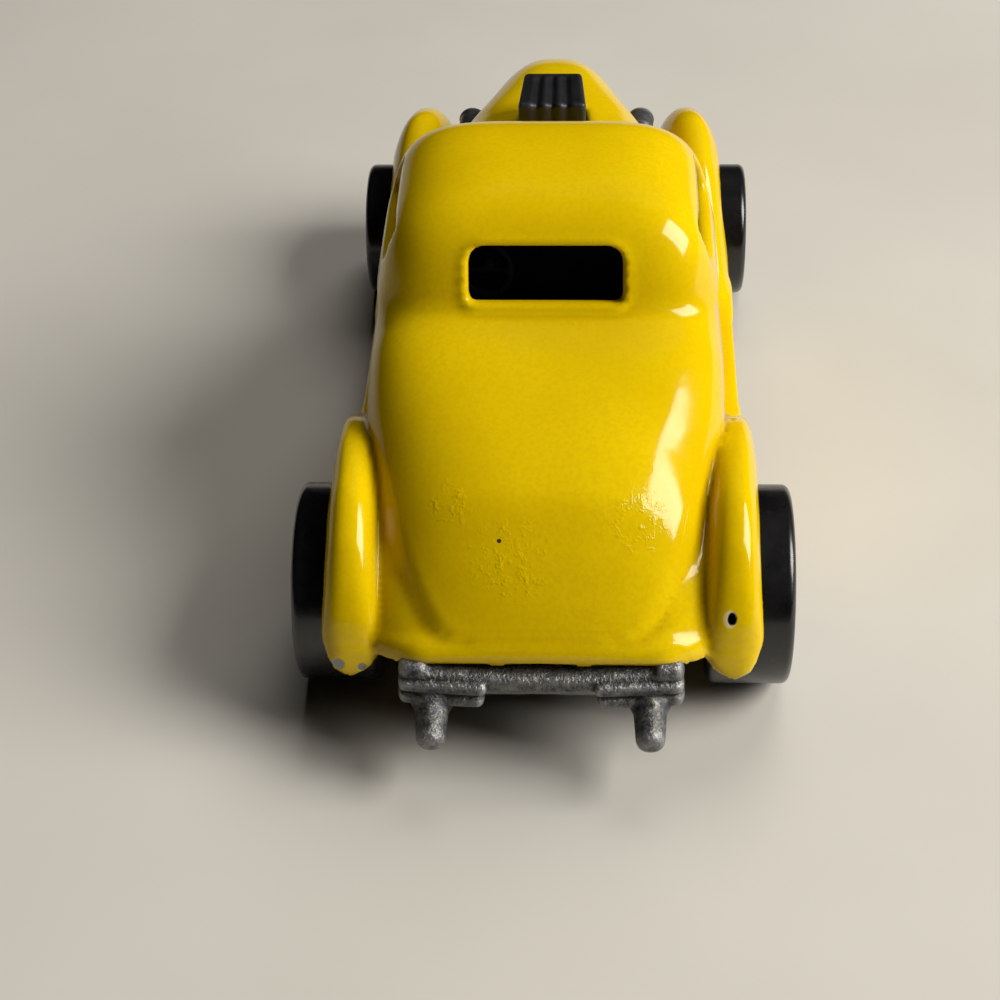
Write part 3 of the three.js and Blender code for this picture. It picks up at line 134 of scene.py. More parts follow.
rear_fender = dict(
    crest=curve([
        [REAR_FENDER_END, SILL + 0.6], [REAR_FENDER_BACK + 0.4, REAR_TOP - 5.0],
        [REAR_FENDER_BACK + 1.1, REAR_TOP - 2.9], [REAR_FENDER_BACK + 2.3, REAR_TOP - 0.7],
        [REAR_FENDER_BACK + 4.3, REAR_TOP + 1.3], [-1, REAR_TOP + 2.7], [2.5, REAR_TOP + 2.8],
        [REAR_RADIUS - 0.5, REAR_TOP + 2.1], [REAR_RADIUS + 3.1, REAR_TOP],
        [REAR_RADIUS + 6.5, REAR_TOP - 3.1], [REAR_RADIUS + 10.5, SILL + 2.2],
        [REAR_FENDER_FRONT, SILL + 1]]),
    inner=curve([[REAR_FENDER_BACK, 9.9], [0, 9.7], [REAR_FENDER_FRONT, 10.5]]),
    ridge=curve([
        [REAR_FENDER_BACK, 12.0], [0, 12.2], [REAR_RADIUS + 3, 12.7], [REAR_FENDER_FRONT, 12.1]]),
    outer=curve([
        [REAR_FENDER_BACK, 13.5], [REAR_FENDER_BACK + 1.5, 14.1], [2, 14.2],
        [REAR_RADIUS + 4, 14.0], [REAR_FENDER_FRONT, 13.8]]),
    ends=(REAR_FENDER_END, REAR_FENDER_FRONT), power=2.7, soft=0.6)
front_fender = dict(
    crest=curve([
        [FRONT_FENDER_BACK, SILL + 1], [WHEELBASE - FRONT_RADIUS - 5, SILL + 2.4],
        [WHEELBASE - FRONT_RADIUS - 1, FRONT_TOP - 0.2], [WHEELBASE - 1.7, FRONT_TOP + 3],
        [WHEELBASE + 2.1, FRONT_TOP + 3.9], [WHEELBASE + FRONT_RADIUS - 0.1, FRONT_TOP + 3.1],
        [FENDER_NOSE - 1.7, FRONT_TOP + 1.7], [FENDER_NOSE - 0.4, FRONT_TOP - 1.2],
        [FENDER_NOSE, SILL + 1.6]]),
    inner=curve([
        [FRONT_FENDER_BACK, 10.8], [WHEELBASE - 6, 8.6], [WHEELBASE + 4, 7.4], [FENDER_NOSE, 7.8]]),
    ridge=curve([[FRONT_FENDER_BACK, 12.2], [WHEELBASE, 11.2], [FENDER_NOSE, 10.2]]),
    outer=curve([
        [FRONT_FENDER_BACK, 13.8], [WHEELBASE, 13.8], [WHEELBASE + FRONT_RADIUS, 13.2],
        [FENDER_NOSE, 11.7]]),
    ends=(FRONT_FENDER_BACK, FENDER_NOSE), power=2.2, soft=1.8)


def spread(x, y, z):
    """Three rows of places as arrays that spread over each other into a block."""
    return x[:, None, None], y[None, :, None], z[None, None, :]


def lattice(half, y_ends, z_ends, step):
    """The right half of a block of places at even steps, with one plane of them at x = 0."""
    x = np.arange(0, half + step, step)
    y = np.arange(y_ends[0], y_ends[1] + step, step)
    z = np.arange(z_ends[0], z_ends[1] + step, step)
    return spread(x, y, z)


def even_distance(field, step, reach=3.0):
    """A field divided by the length of its slope, so that near its skin it counts millimetres."""
    steep = np.sqrt(sum(g * g for g in np.gradient(field, step)))
    return np.clip(field / np.maximum(steep, 1e-3), -reach, reach)


def merged(a, b, soft):
    """Two solids joined: the smaller of their distances, lowered by up to a quarter of soft where the
    two are nearly equal, which leaves a fillet about soft millimetres wide."""
    mix = np.clip(0.5 + 0.5 * (b - a) / soft, 0, 1)
    return b + (a - b) * mix - soft * mix * (1 - mix)


def carved(a, b, soft):
    """Solid a with solid b taken away: the larger of a and minus b, its edges rounded in the same way."""
    return -merged(-a, b, soft)


def arch(x, y, z, form, step):
    """A fender: at each place along the car a superellipse over its ridge, as wide as its inner
    and outer feet and as high as its crest, closed by a plane at each end."""
    ridge = form["ridge"](y)
    reach = np.where(x > ridge, form["outer"](y) - ridge, ridge - form["inner"](y))
    rise = np.maximum(form["crest"](y) - SILL, 0.05)
    power = form["power"]
    across = np.abs(x - ridge) / reach
    up = np.maximum(z - SILL, 0) / rise
    skin = even_distance(((across ** power + up ** power) ** (1 / power) - 1) * 2.0, step)
    ends = np.maximum(form["ends"][0] - y, y - form["ends"][1])
    return carved(skin, -ends, form["soft"])


def rounded_block(x, y, z, low, high, corner):
    """A box with rounded edges: the distance outside it past a box that is smaller by corner."""
    middles = [(a + b) / 2 for a, b in zip(low, high)]
    halves = [(b - a) / 2 - corner for a, b in zip(low, high)]
    past = [np.abs(p - m) - h for p, m, h in zip((x, y, z), middles, halves)]
    outside = np.sqrt(sum(np.maximum(p, 0) ** 2 for p in past))
    inside = np.minimum(np.maximum(np.maximum(past[0], past[1]), past[2]), 0)
    return outside + inside - corner


BODY_STEP = 0.335
x, y, z = lattice(14.6, (TAIL - 0.9, FENDER_NOSE + 0.9), (SILL - 0.9, ROOF + 0.9), BODY_STEP)

# The hull, deck and hood, is a superellipse section over its spring line at each place along the car.
spring = spring_line(y)
crown = np.maximum(deck_line(y) - spring, 0.1)
power = squareness(y)
section = (x / flank_line(y)) ** power + (np.maximum(z - spring, 0) / crown) ** power
hull = even_distance((section ** (1 / power) - 1) * 6.0, BODY_STEP)
hull = carved(hull, -np.maximum(HULL_END - y, y - NOSE), 0.5)

# The cab is a rounded rectangle in plan, drawn in as it rises and closed over by the roof.
above = z - BELT
cab_front = CAB_FRONT - SHIELD_LEAN * np.maximum(above, 0)
cab_back = CAB_BACK + BACK_LEAN * above
cab_half = CAB_HALF - SIDE_LEAN * np.maximum(above + 1, 0) - 0.3 * np.maximum(-above - 1, 0)
lengthways = (y - (cab_front + cab_back) / 2) * 2 / (cab_front - cab_back)
plan = (x / cab_half) ** PLAN_POWER + np.abs(lengthways) ** PLAN_POWER
dome = plan ** (ROOF_POWER / PLAN_POWER) + (np.maximum(above, 0) / (ROOF - BELT)) ** ROOF_POWER
cab = even_distance((dome ** (1 / ROOF_POWER) - 1) * 8.0, BODY_STEP)
cab = np.maximum(cab, CAB_FOOT - z)

# The apron lies beside the deck and below it, and runs out to the rear fenders. The deck's edge stands
# proud of it by a small step, so the skin is sunk outboard of that edge.
APRON_HALF, APRON_FOOT, DECK_STEP = 11.2, 7.3, 0.42
apron_top = curve([
    [TAIL - 0.35, 7.0], [TAIL + 0.65, 9.34], [TAIL + 1.03, 9.72], [TAIL + 1.25, 9.93], [TAIL + 2, 10.74],
    [TAIL + 3.47, 12.22], [TAIL + 4.79, 13.28], [TAIL + 6.76, 14.1], [0.34, 14.77], [CAB_BACK - 4, 14.8],
    [CAB_BACK + 1, 12]])
deck_edge = curve([
    [TAIL + 0.3, 3.0], [TAIL + 0.65, 3.74], [TAIL + 1.03, 5.35], [TAIL + 1.25, 5.97], [TAIL + 2, 6.79],
    [TAIL + 3.47, 7.81], [TAIL + 4.79, 8.53], [TAIL + 6.76, 9.51], [0.34, 10.42], [4.76, 11.12]])
receding = y - 1.2 * np.clip((x - 7) / 3, 0, 1.2) ** 2
apron = np.maximum((z - apron_top(receding)) * 0.75, np.maximum(x - APRON_HALF, y - CAB_BACK - 1))
apron = np.maximum(apron, APRON_FOOT - z)
outboard = np.clip((x - deck_edge(y)) / 0.9 + 0.35, 0, 1)
fading = np.clip((4.5 - y) / 4, 0, 1) * np.clip((y - TAIL - 0.5) / 1.4, 0, 1)
sunk = DECK_STEP * outboard ** 2 * (3 - 2 * outboard) * fading * (z < BELT - 2)

# The catwalk joins hood and front fenders, and the running boards join the fenders along the sill.
CATWALK_BACK, CATWALK_FRONT, CATWALK_HALF = WHEELBASE - FRONT_RADIUS - 4, NOSE - 0.4, 10.2
catwalk_top = curve([
    [CATWALK_BACK, SILL + WALL], [WHEELBASE - 4, FRONT_TOP - 1.3], [WHEELBASE + 1, FRONT_TOP - 0.3],
    [WHEELBASE + 4.6, FRONT_TOP - 0.6], [CATWALK_FRONT, SILL + 2.5]])
catwalk_edge = np.maximum(np.maximum(CATWALK_BACK - y, y - CATWALK_FRONT), x - CATWALK_HALF)
catwalk = np.maximum(np.maximum(z - catwalk_top(y), catwalk_top(y) - WALL - z), catwalk_edge)
board_ends = (10, REAR_RADIUS + 5, SILL), (13.8, WHEELBASE - FRONT_RADIUS - 3, SILL + 1.2)
boards = rounded_block(x, y, z, *board_ends, 0.35)
rear_arch = arch(x, y, z, rear_fender, BODY_STEP)
front_arch = arch(x, y, z, front_fender, BODY_STEP)

outside = merged(hull, cab, 1.1)
outside = merged(outside, apron, 0.5) + sunk
outside = merged(outside, rear_arch, 0.3)
outside = merged(outside, catwalk, 0.8)
outside = merged(outside, front_arch, 0.9)
outside = merged(outside, boards, 0.8)
outside = carved(outside, z - SILL, 0.3)

# Inside, the casting keeps an even wall; the wheels, windows, scoop, grille, lamps, axles and
# bumper each have their opening in it, and two posts take the rivets that hold the base.
hollow = np.minimum(hull, cab) + WALL + 1.5 * sunk
hollow = np.minimum(hollow, np.minimum(rear_arch, front_arch) + WALL)
REAR_WELL_ROOM, FRONT_WELL_ROOM = 0.35, 0.7
REAR_WELL_INNER, FRONT_WELL_INNER = 10.45, 10.4
rear_well = np.sqrt(y ** 2 + (z - REAR_RADIUS) ** 2) - REAR_RADIUS - REAR_WELL_ROOM
front_well = np.sqrt((y - WHEELBASE) ** 2 + (z - FRONT_RADIUS) ** 2) - FRONT_RADIUS - FRONT_WELL_ROOM
hollow = np.minimum(hollow, np.maximum(rear_well, REAR_WELL_INNER - x))
hollow = np.minimum(hollow, np.maximum(front_well, FRONT_WELL_INNER - x))
body = carved(outside, hollow, 0.3)


def pane(across, up, half, low, high, corner):
    """The flat distance from a rounded rectangle, negative inside it."""
    aside = np.abs(across) - half + corner
    over = np.abs(up - (low + high) / 2) - (high - low) / 2 + corner
    outside = np.sqrt(np.maximum(aside, 0) ** 2 + np.maximum(over, 0) ** 2)
    return outside + np.minimum(np.maximum(aside, over), 0) - corner


LEAN = math.atan(BACK_LEAN)
REAR_PANE_FOOT, REAR_PANE_HALF, REAR_PANE_HIGH = BELT + 0.75, 5.0, 3.6
PANE_FOOT, SHIELD_HALF, SHIELD_HEAD, SIDE_HALF, SIDE_HEAD = BELT + 0.9, 7.5, BELT + 4.1, 4.6, BELT + 3.4
along_back = (y - CAB_BACK) * math.sin(LEAN) + (z - REAR_PANE_FOOT) * math.cos(LEAN)
through_back = (y - CAB_BACK) * math.cos(LEAN) - (z - REAR_PANE_FOOT) * math.sin(LEAN)
corners = np.where(along_back > REAR_PANE_HIGH / 2, 1.0, 0.4)
rear_pane = pane(x, along_back, REAR_PANE_HALF, 0.0, REAR_PANE_HIGH, corners)
rear_window = np.maximum(rear_pane, np.abs(through_back - 2) - 4)
windshield = np.maximum(pane(x, z, SHIELD_HALF, PANE_FOOT, SHIELD_HEAD, 0.8), 19.2 - y)
door_middle = (CAB_BACK + CAB_FRONT) / 2
side_window = np.maximum(pane(y - door_middle, z, SIDE_HALF, PANE_FOOT, SIDE_HEAD, 0.8), 6 - x)
SCOOP_BACK, SCOOP_FRONT, SCOOP_HALF, SCOOP_ROOM = 33.4, 38.2, 2.5, 0.3


def scoop_half(y):
    """The scoop's half width, which narrows evenly from its back to its front."""
    return SCOOP_HALF - 0.35 * (y - SCOOP_BACK) / (SCOOP_FRONT - SCOOP_BACK)


hood_ends = np.maximum(SCOOP_BACK - SCOOP_ROOM - y, y - SCOOP_FRONT - SCOOP_ROOM)
hood_hole = np.maximum(np.maximum(x - scoop_half(y) - SCOOP_ROOM, hood_ends), 14.9 - z)
nose_half = curve([
    [6.0, 0], [6.6, 0.35], [8, 1.3], [10, 1.65], [12.4, 1.8], [14, 1.55], [15, 0.9], [15.5, 0]])
nose_hole = np.maximum(np.maximum(x - nose_half(z), NOSE - 3 - y), np.maximum(6.2 - z, z - 15.5))
tail_edge = curve([
    [0, 8.25], [4, 8.2], [6.4, 8.15], [7.8, 8.1], [8.5, 8.0], [9.4, 7.8], [10.2, 7.35], [11, 6.6],
    [12, 6.2], [12.8, 6.4], [13.5, 7.2], [14.0, 8.6]])
tail_reach = TAIL + 3 + 6.7 * np.clip((x - 8.8) / 1.2, 0, 1)
tail_cut = np.maximum((z - tail_edge(x)) * 0.7, (y - tail_reach) * 0.3)
AXLE_SLOT = 0.85
axle_cut = np.minimum(
    np.maximum(np.abs(y) - AXLE_SLOT, z - REAR_RADIUS - AXLE_SLOT),
    np.maximum(np.abs(y - WHEELBASE) - AXLE_SLOT, z - FRONT_RADIUS - AXLE_SLOT))
LAMP_X, LAMP_Y, LAMP_HEIGHT = 6.8, WHEELBASE + 3, 13.0
lamp_cut = np.maximum(np.sqrt((x - LAMP_X) ** 2 + (y - LAMP_Y) ** 2) - 0.8, z - LAMP_HEIGHT)

# Paint lies thick round the rear window, as a low bead along its edge.
bead = np.sqrt((rear_pane - 0.2) ** 2 + (outside + 0.1) ** 2) - 0.3
body = merged(body, np.maximum(bead, y - CAB_BACK - 4), 0.3)
for opening, soft in (
        (rear_window, 0.35), (windshield, 0.4), (side_window, 0.4), (hood_hole, 0.25),
        (nose_hole, 0.3), (tail_cut, 0.3), (axle_cut, 0.15), (lamp_cut, 0.15)):
    body = carved(body, opening, soft)
REAR_POST, FRONT_POST, POST_RADIUS = -4.8, WHEELBASE + 3.65, 1.5
for post_y in (REAR_POST, FRONT_POST):
    post_top = min(deck_line(post_y - POST_RADIUS), deck_line(post_y + POST_RADIUS)) - WALL / 2
    around = np.sqrt(x ** 2 + (y - post_y) ** 2)
    post = np.maximum(np.abs(around - POST_RADIUS + 0.3) - 0.3, np.maximum(SILL - z, z - post_top))
    body = np.minimum(body, post)


def mirrored(field, x):
    """A right half field and its x places, each with its mirror image on the left, sharing x = 0."""
    return np.concatenate([field[:0:-1], field]), np.concatenate([-x[:0:-1], x])


def sampled(field, places):
    """The field at places counted in grid steps, weighted from the eight points round each."""
    top = np.array(field.shape) - 2
    cell = np.clip(np.floor(places).astype(int), 0, top)
    t = np.clip(places - cell, 0, 1)
    total = 0.0
    for corner in np.ndindex(2, 2, 2):
        weight = np.prod(np.where(corner, t, 1 - t), axis=1)
        total = total + weight * field[tuple((cell + corner).T)]
    return total


def skin(field, x, y, z, step):
    """The surface where a field over these places is zero: a vertex in each crossed cell at the mean
    of its edge crossings, moved along the slope onto the zero, and a quad round each crossed grid
    edge. Gives places in millimetres, quads, outward normals, and how sharply the skin bends there, more
    than 0 on an edge and less in a recess."""
    inside = field < 0
    n = field.shape
    count = sum(inside[i:n[0] - 1 + i, j:n[1] - 1 + j, k:n[2] - 1 + k].astype(np.int8)
                for i, j, k in np.ndindex(2, 2, 2))
    crossed = (count > 0) & (count < 8)
    cells = np.argwhere(crossed)
    number = np.full(crossed.shape, -1)
    number[crossed] = np.arange(len(cells))
    corners = np.array(list(np.ndindex(2, 2, 2)))
    values = np.stack([field[tuple((cells + c).T)] for c in corners], 1)
    total, hits = np.zeros((len(cells), 3)), np.zeros((len(cells), 1))
    for a in range(8):
        for b in range(a + 1, 8):
            if np.abs(corners[a] - corners[b]).sum() == 1:
                hit = (values[:, a] < 0) != (values[:, b] < 0)
                t = values[:, a] / np.where(hit, values[:, a] - values[:, b], 1)
                point = corners[a] + t[:, None] * (corners[b] - corners[a])
                total += np.where(hit[:, None], point, 0)
                hits += hit[:, None]
    places = cells + total / hits
    slopes = np.gradient(field)
    for _ in range(3):
        slope = np.stack([sampled(g, places) for g in slopes], 1)
        steep = np.maximum((slope ** 2).sum(1, keepdims=True), 1e-4)
        move = sampled(field, places)[:, None] * slope / steep
        places = places - np.clip(move, -0.3, 0.3)
    slope = np.stack([sampled(g, places) for g in slopes], 1)
    normals = slope / np.maximum(np.linalg.norm(slope, axis=1, keepdims=True), 1e-6)
    bend = sampled(sum(np.gradient(g, axis=a) for a, g in enumerate(slopes)), places) / step ** 2
    quads = []
    for axis in range(3):
        along = [slice(None)] * 3
        along[axis] = slice(0, -1)
        ahead = [slice(None)] * 3
        ahead[axis] = slice(1, None)
        first, second = inside[tuple(along)], inside[tuple(ahead)]
        edges = np.argwhere(first != second)
        u, v = (axis + 1) % 3, (axis + 2) % 3
        edges = edges[(edges[:, u] > 0) & (edges[:, v] > 0)]
        edges = edges[(edges[:, u] < n[u] - 1) & (edges[:, v] < n[v] - 1)]
        ring = []
        for du, dv in ((-1, -1), (0, -1), (0, 0), (-1, 0)):
            cell = edges.copy()
            cell[:, u] += du
            cell[:, v] += dv
            ring.append(number[tuple(cell.T)])
        ring = np.stack(ring, 1)
        outward = first[tuple(edges.T)]
        quads.append(np.where(outward[:, None], ring, ring[:, ::-1]))
    low = np.array([x.flat[0], y.flat[0], z.flat[0]])
    return low + places * step, np.concatenate(quads), normals, bend


def new_piece(name, places, faces, normals=None, bend=None):
    """A mesh object of quads, its places moved from millimetres at the rear axle into the frame,
    with its own normals and its bend kept as an attribute for the finish to read."""
    mesh = bpy.data.meshes.new(name)
    mesh.vertices.add(len(places))
    mesh.vertices.foreach_set("co", ((places - ORIGIN) * MM).astype(np.float32).ravel())
    mesh.loops.add(faces.size)
    mesh.loops.foreach_set("vertex_index", faces.astype(np.int32).ravel())
    mesh.polygons.add(len(faces))
    starts = np.arange(0, faces.size, faces.shape[1], dtype=np.int32)
    mesh.polygons.foreach_set("loop_start", starts)
    mesh.polygons.foreach_set("use_smooth", np.ones(len(faces), bool))
    mesh.update(calc_edges=True)
    if normals is not None:
        mesh.normals_split_custom_set_from_vertices(normals.astype(np.float32))
    if bend is not None:
        kept = mesh.attributes.new("bend", "FLOAT", "POINT")
        kept.data.foreach_set("value", np.clip(bend, -5, 5).astype(np.float32))
    piece = bpy.data.objects.new(name, mesh)
    bpy.context.scene.collection.objects.link(piece)
    return piece


body_piece = new_piece("body", *skin(*mirrored(body, x), y, z, BODY_STEP))
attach(body_piece, "body")
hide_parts("body_shell")


def adder(tree):
    """A function that adds a node to a tree, with its settings, and puts a value on each input that is
    named, or a link where the value is another node's socket."""

    def node(kind, inputs=(), **settings):
        added = tree.nodes.new(kind)
        for key, value in settings.items():
            setattr(added, key, value)
        for key, value in dict(inputs).items():
            socket = added.inputs[key]
            if isinstance(value, bpy.types.NodeSocket):
                tree.links.new(value, socket)
            else:
                socket.default_value = (*value, 1) if socket.type == "RGBA" else value
        return added

    return node


def effect(name, inputs, outputs):
    """A node group for an effect that several finishes share, with the kind of each named socket.
    Gives the group, a function that adds nodes to it, and the sockets of its input node."""
    group = bpy.data.node_groups.new(name, "ShaderNodeTree")
    for side, sockets in (("INPUT", inputs), ("OUTPUT", outputs)):
        for socket, kind in sockets.items():
            group.interface.new_socket(socket, in_out=side, socket_type="NodeSocket" + kind)
    node = adder(group)
    return group, node, node("NodeGroupInput").outputs


def ranged(node, value, start, end, low, high):
    """A value that goes evenly from low to high while another goes from start to end, and stays at low
    or high beyond them."""
    return node("ShaderNodeMapRange", {
        "Value": value, "From Min": start, "From Max": end, "To Min": low, "To Max": high}).outputs["Result"]


def mixed(node, share, a, b):
    """Two colours mixed, with this share of the second."""
    return node("ShaderNodeMix", {0: share, 6: a, 7: b}, data_type="RGBA").outputs[2]


def sums(node, kind, a, b):
    """Two values put together by a Math node of this kind."""
    return node("ShaderNodeMath", {0: a, 1: b}, operation=kind).outputs[0]


# Grain: soft noise, given as it is, and as a value and a tone that go from one end to the other while
# the noise goes from start to end.
grain_effect, node, given = effect(
    "grain",
    dict(Place="Vector", Scale="Float", Detail="Float", Softness="Float", Start="Float", End="Float",
         Low="Float", High="Float", Dark="Color", Light="Color"),
    dict(Noise="Float", Value="Float", Tone="Color"))
soft_noise = node("ShaderNodeTexNoise", {
    "Vector": given["Place"], "Scale": given["Scale"], "Detail": given["Detail"],
    "Roughness": given["Softness"]}).outputs["Fac"]
share = ranged(node, soft_noise, given["Start"], given["End"], 0.0, 1.0)
node("NodeGroupOutput", {
    "Noise": soft_noise,
    "Value": ranged(node, soft_noise, given["Start"], given["End"], given["Low"], given["High"]),
    "Tone": mixed(node, share, given["Dark"], given["Light"])})

# Edge wear and recess shade: where the bend of the skin times Strength goes from Start to End, up to
# Amount of the second tone comes in. Above 0, Strength takes the edges, for rubbed wear; below 0 it
# takes the recesses and not the edges, for painted shade.
wear_and_shade_effect, node, given = effect(
    "edge_wear_and_recess_shade",
    dict(Tone="Color", Worn="Color", Strength="Float", Start="Float", End="Float", Amount="Float"),
    dict(Tone="Color"))
bend = node("ShaderNodeAttribute", attribute_name="bend").outputs["Fac"]
sharp = sums(node, "MULTIPLY", bend, given["Strength"])
share = ranged(node, sharp, given["Start"], given["End"], 0.0, given["Amount"])
node("NodeGroupOutput", {"Tone": mixed(node, share, given["Tone"], given["Worn"])})


def finish(name, **values):
    """A node material with these values on its shader's sockets. Gives it, a function that adds nodes
    to it, one that feeds a socket of its shader, and the place on the piece."""
    made = bpy.data.materials.new(name)
    made.use_nodes = True
    tree = made.node_tree
    shader = tree.nodes["Principled BSDF"]
    for socket, value in values.items():
        shader.inputs[socket.replace("_", " ").title().replace("Ior", "IOR")].default_value = value
    node = adder(tree)

    def feed(socket, value):
        tree.links.new(value, shader.inputs[socket])

    return made, node, feed, node("ShaderNodeTexCoord").outputs["Object"]


def grain(node, place, scale, detail=3.0, softness=0.55, start=0.0, end=1.0, **limits):
    """The outputs of the grain effect placed in a finish, its scale in features to the metre."""
    inputs = {
        "Place": place, "Scale": scale, "Detail": detail, "Softness": softness, "Start": start, "End": end}
    inputs.update((key.title(), value) for key, value in limits.items())
    return node("ShaderNodeGroup", inputs, node_tree=grain_effect).outputs


def edge_wear_and_recess_shade(node, tone, wear_and_shade_tone, strength, start, end, amount):
    """A tone with the edge wear and recess shade effect placed over it: rubbed wear on the edges where
    strength is above 0, painted shade in the recesses where it is below 0.
    """
    return node("ShaderNodeGroup", {
        "Tone": tone, "Worn": wear_and_shade_tone, "Strength": strength, "Start": start, "End": end,
        "Amount": amount}, node_tree=wear_and_shade_effect).outputs["Tone"]


def embossed(node, feed, height, strength, depth):
    """A height fed to the shader's normal, its depth in millimetres."""
    bump = node("ShaderNodeBump", {"Height": height, "Strength": strength, "Distance": depth * MM})
    feed("Normal", bump.outputs["Normal"])


def spot(node, place, centre, radius, ragged, tall=1.0):
    """A mask that is 1 inside a ragged patch about a centre on the toy, in millimetres: the distance
    from it plus noise, cut off at the radius. The patch is round, or taller than wide by a factor."""
    centre = tuple((np.array(centre) - ORIGIN) * MM)
    offset = node("ShaderNodeVectorMath", {0: place, 1: centre}, operation="SUBTRACT").outputs["Vector"]
    squeezed = node("ShaderNodeVectorMath", {0: offset, 1: (1, 1, 1 / tall)}, operation="MULTIPLY")
    away = node("ShaderNodeVectorMath", {0: squeezed.outputs["Vector"]}, operation="LENGTH").outputs["Value"]
    rough = sums(node, "MULTIPLY", grain(node, place, 2600, 2)["Noise"], ragged * MM)
    edge = sums(node, "ADD", away, rough)
    return ranged(node, edge, (radius + ragged) * MM, (radius + ragged * 0.5) * MM * 0.92, 0.0, 1.0)


def spots(node, place, ragged, first, others):
    """The masks of several ragged patches, each a centre and a radius, joined to a first mask."""
    mask = first
    for centre, radius in others:
        mask = sums(node, "MAXIMUM", mask, spot(node, place, centre, radius, ragged))
    return mask


DEEP_YELLOW, BRIGHT_YELLOW, SPECKLE, SHADED_YELLOW = (
    (0.68, 0.45, 0.001), (0.75, 0.515, 0.002), (0.62, 0.40, 0.001), (0.34, 0.18, 0.001))
CHIP_RIM, BARE_METAL, DARK_SPOT = (0.80, 0.66, 0.30), (0.20, 0.20, 0.21), (0.03, 0.02, 0.01)
paint, node, feed, place = finish(
    "yellow_paint", coat_weight=0.09, coat_roughness=0.06, specular_ior_level=0.25)
tone = grain(node, place, 90, 2, start=0.35, end=0.65, dark=DEEP_YELLOW, light=BRIGHT_YELLOW)["Tone"]
speck = grain(node, place, 3200, 2, start=0.42, end=0.62, low=0.0, high=0.35)["Value"]
tone = mixed(node, speck, tone, SPECKLE)
# Creases and recesses darken towards a deep shaded yellow: painted shade in the creases.
tone = edge_wear_and_recess_shade(node, tone, SHADED_YELLOW, -0.5, 0.06, 0.8, 0.7)
chip = spot(node, place, (11.77, -7.4, 10.33), 0.27, 0.12, 1.7)
chip = spots(node, place, 0.2, chip, (((-12.76, -8.45, 7.14), 0.36), ((-11.25, -8.53, 6.97), 0.24)))
rim = spot(node, place, (11.64, -7.4, 10.27), 0.40, 0.12, 1.6)
tone = mixed(node, rim, tone, CHIP_RIM)
tone = mixed(node, chip, tone, BARE_METAL)
tone = mixed(node, spot(node, place, (-2.57, -5.37, 14.82), 0.13, 0.06), tone, DARK_SPOT)
feed("Base Color", tone)
feed("Metallic", chip)
feed("Roughness", grain(node, place, 400, start=0.3, end=0.75, low=0.07, high=0.15)["Value"])
crinkle = grain(node, place, 1500, 3, 0.7, start=0.5, end=0.72, low=0.0, high=1.0)["Value"]
patch = spot(node, place, (-1.9, -6.2, 13.9), 2.2, 1.6)
patch = spots(node, place, 1.2, patch, (
    ((6.0, -4.2, 15.5), 1.8), ((-5.6, -3.4, 16.1), 1.1), ((1.94, 8.9, 20.82), 0.35)))
height = sums(node, "MULTIPLY", crinkle, patch)
ripple = sums(node, "MULTIPLY", grain(node, place, 620, 2)["Noise"], 0.35)
height = sums(node, "ADD", height, ripple)
height = sums(node, "SUBTRACT", height, sums(node, "MULTIPLY", chip, 1.5))
embossed(node, feed, height, 0.5, 0.06)
body_piece.data.materials.append(paint)

# The base is a second zinc casting left bare: a flat plate with the driveline and exhausts in relief
# below, open saddles for the axles above, and a tail that climbs to the rear bumper and its pipes.
BASE_STEP = 0.28
BASE_LOW, BASE_TOP, BASE_BACK, BASE_FRONT = 2.8, 4.2, -6.3, 50.4
x, y, z = lattice(10.9, (-11.2, 51.2), (1.0, 7.8), BASE_STEP)
base_half = curve([
    [BASE_BACK, 7.2], [-4.8, 8.75], [8.3, 8.75], [10.6, 10.4], [26.3, 10.4], [36.2, 8.7], [44.2, 5.7],
    [BASE_FRONT, 3]])
plate = np.maximum(np.maximum(BASE_BACK - y, y - BASE_FRONT), (x - base_half(y)) * 0.95)
plate = carved(plate, 0.7 - np.abs(z - (BASE_LOW + BASE_TOP) / 2), 0.3)
RISER_BACK, RISER_FRONT, RISER_HALF = -9.3, -3.7, 5.8
climb = curve([[RISER_BACK, 6.4], [-8.2, 6.4], [-6.4, 3.5], [RISER_FRONT, 3.5]])
riser = np.maximum(np.abs(z - climb(y)) * 0.62 - 0.6, x - RISER_HALF)
riser = np.maximum(riser, np.maximum(RISER_BACK - y, y - RISER_FRONT))


def rod(x, y, z, y0, y1, radius0, radius1, across=0.0, height=BASE_LOW):
    """A round rod along Y that tapers evenly from its first radius to its second."""
    t = np.clip((y - y0) / (y1 - y0), 0, 1)
    round_skin = np.sqrt((x - across) ** 2 + (z - height) ** 2) - radius0 - t * (radius1 - radius0)
    return np.maximum(round_skin, np.maximum(y0 - y, y - y1))


def saddle(x, y, z, across, along, height):
    """A cheek that stands on the plate, with an open slot that the axle drops into."""
    foot = across - 0.8, along - 1.85, BASE_TOP - 0.5
    head = across + 0.8, along + 1.85, height + 0.5
    cheek = rounded_block(x, y, z, foot, head, 0.2)
    slot = np.sqrt((y - along) ** 2 + np.minimum(z - height, 0) ** 2) - AXLE_SLOT
    return carved(cheek, slot, 0.15)


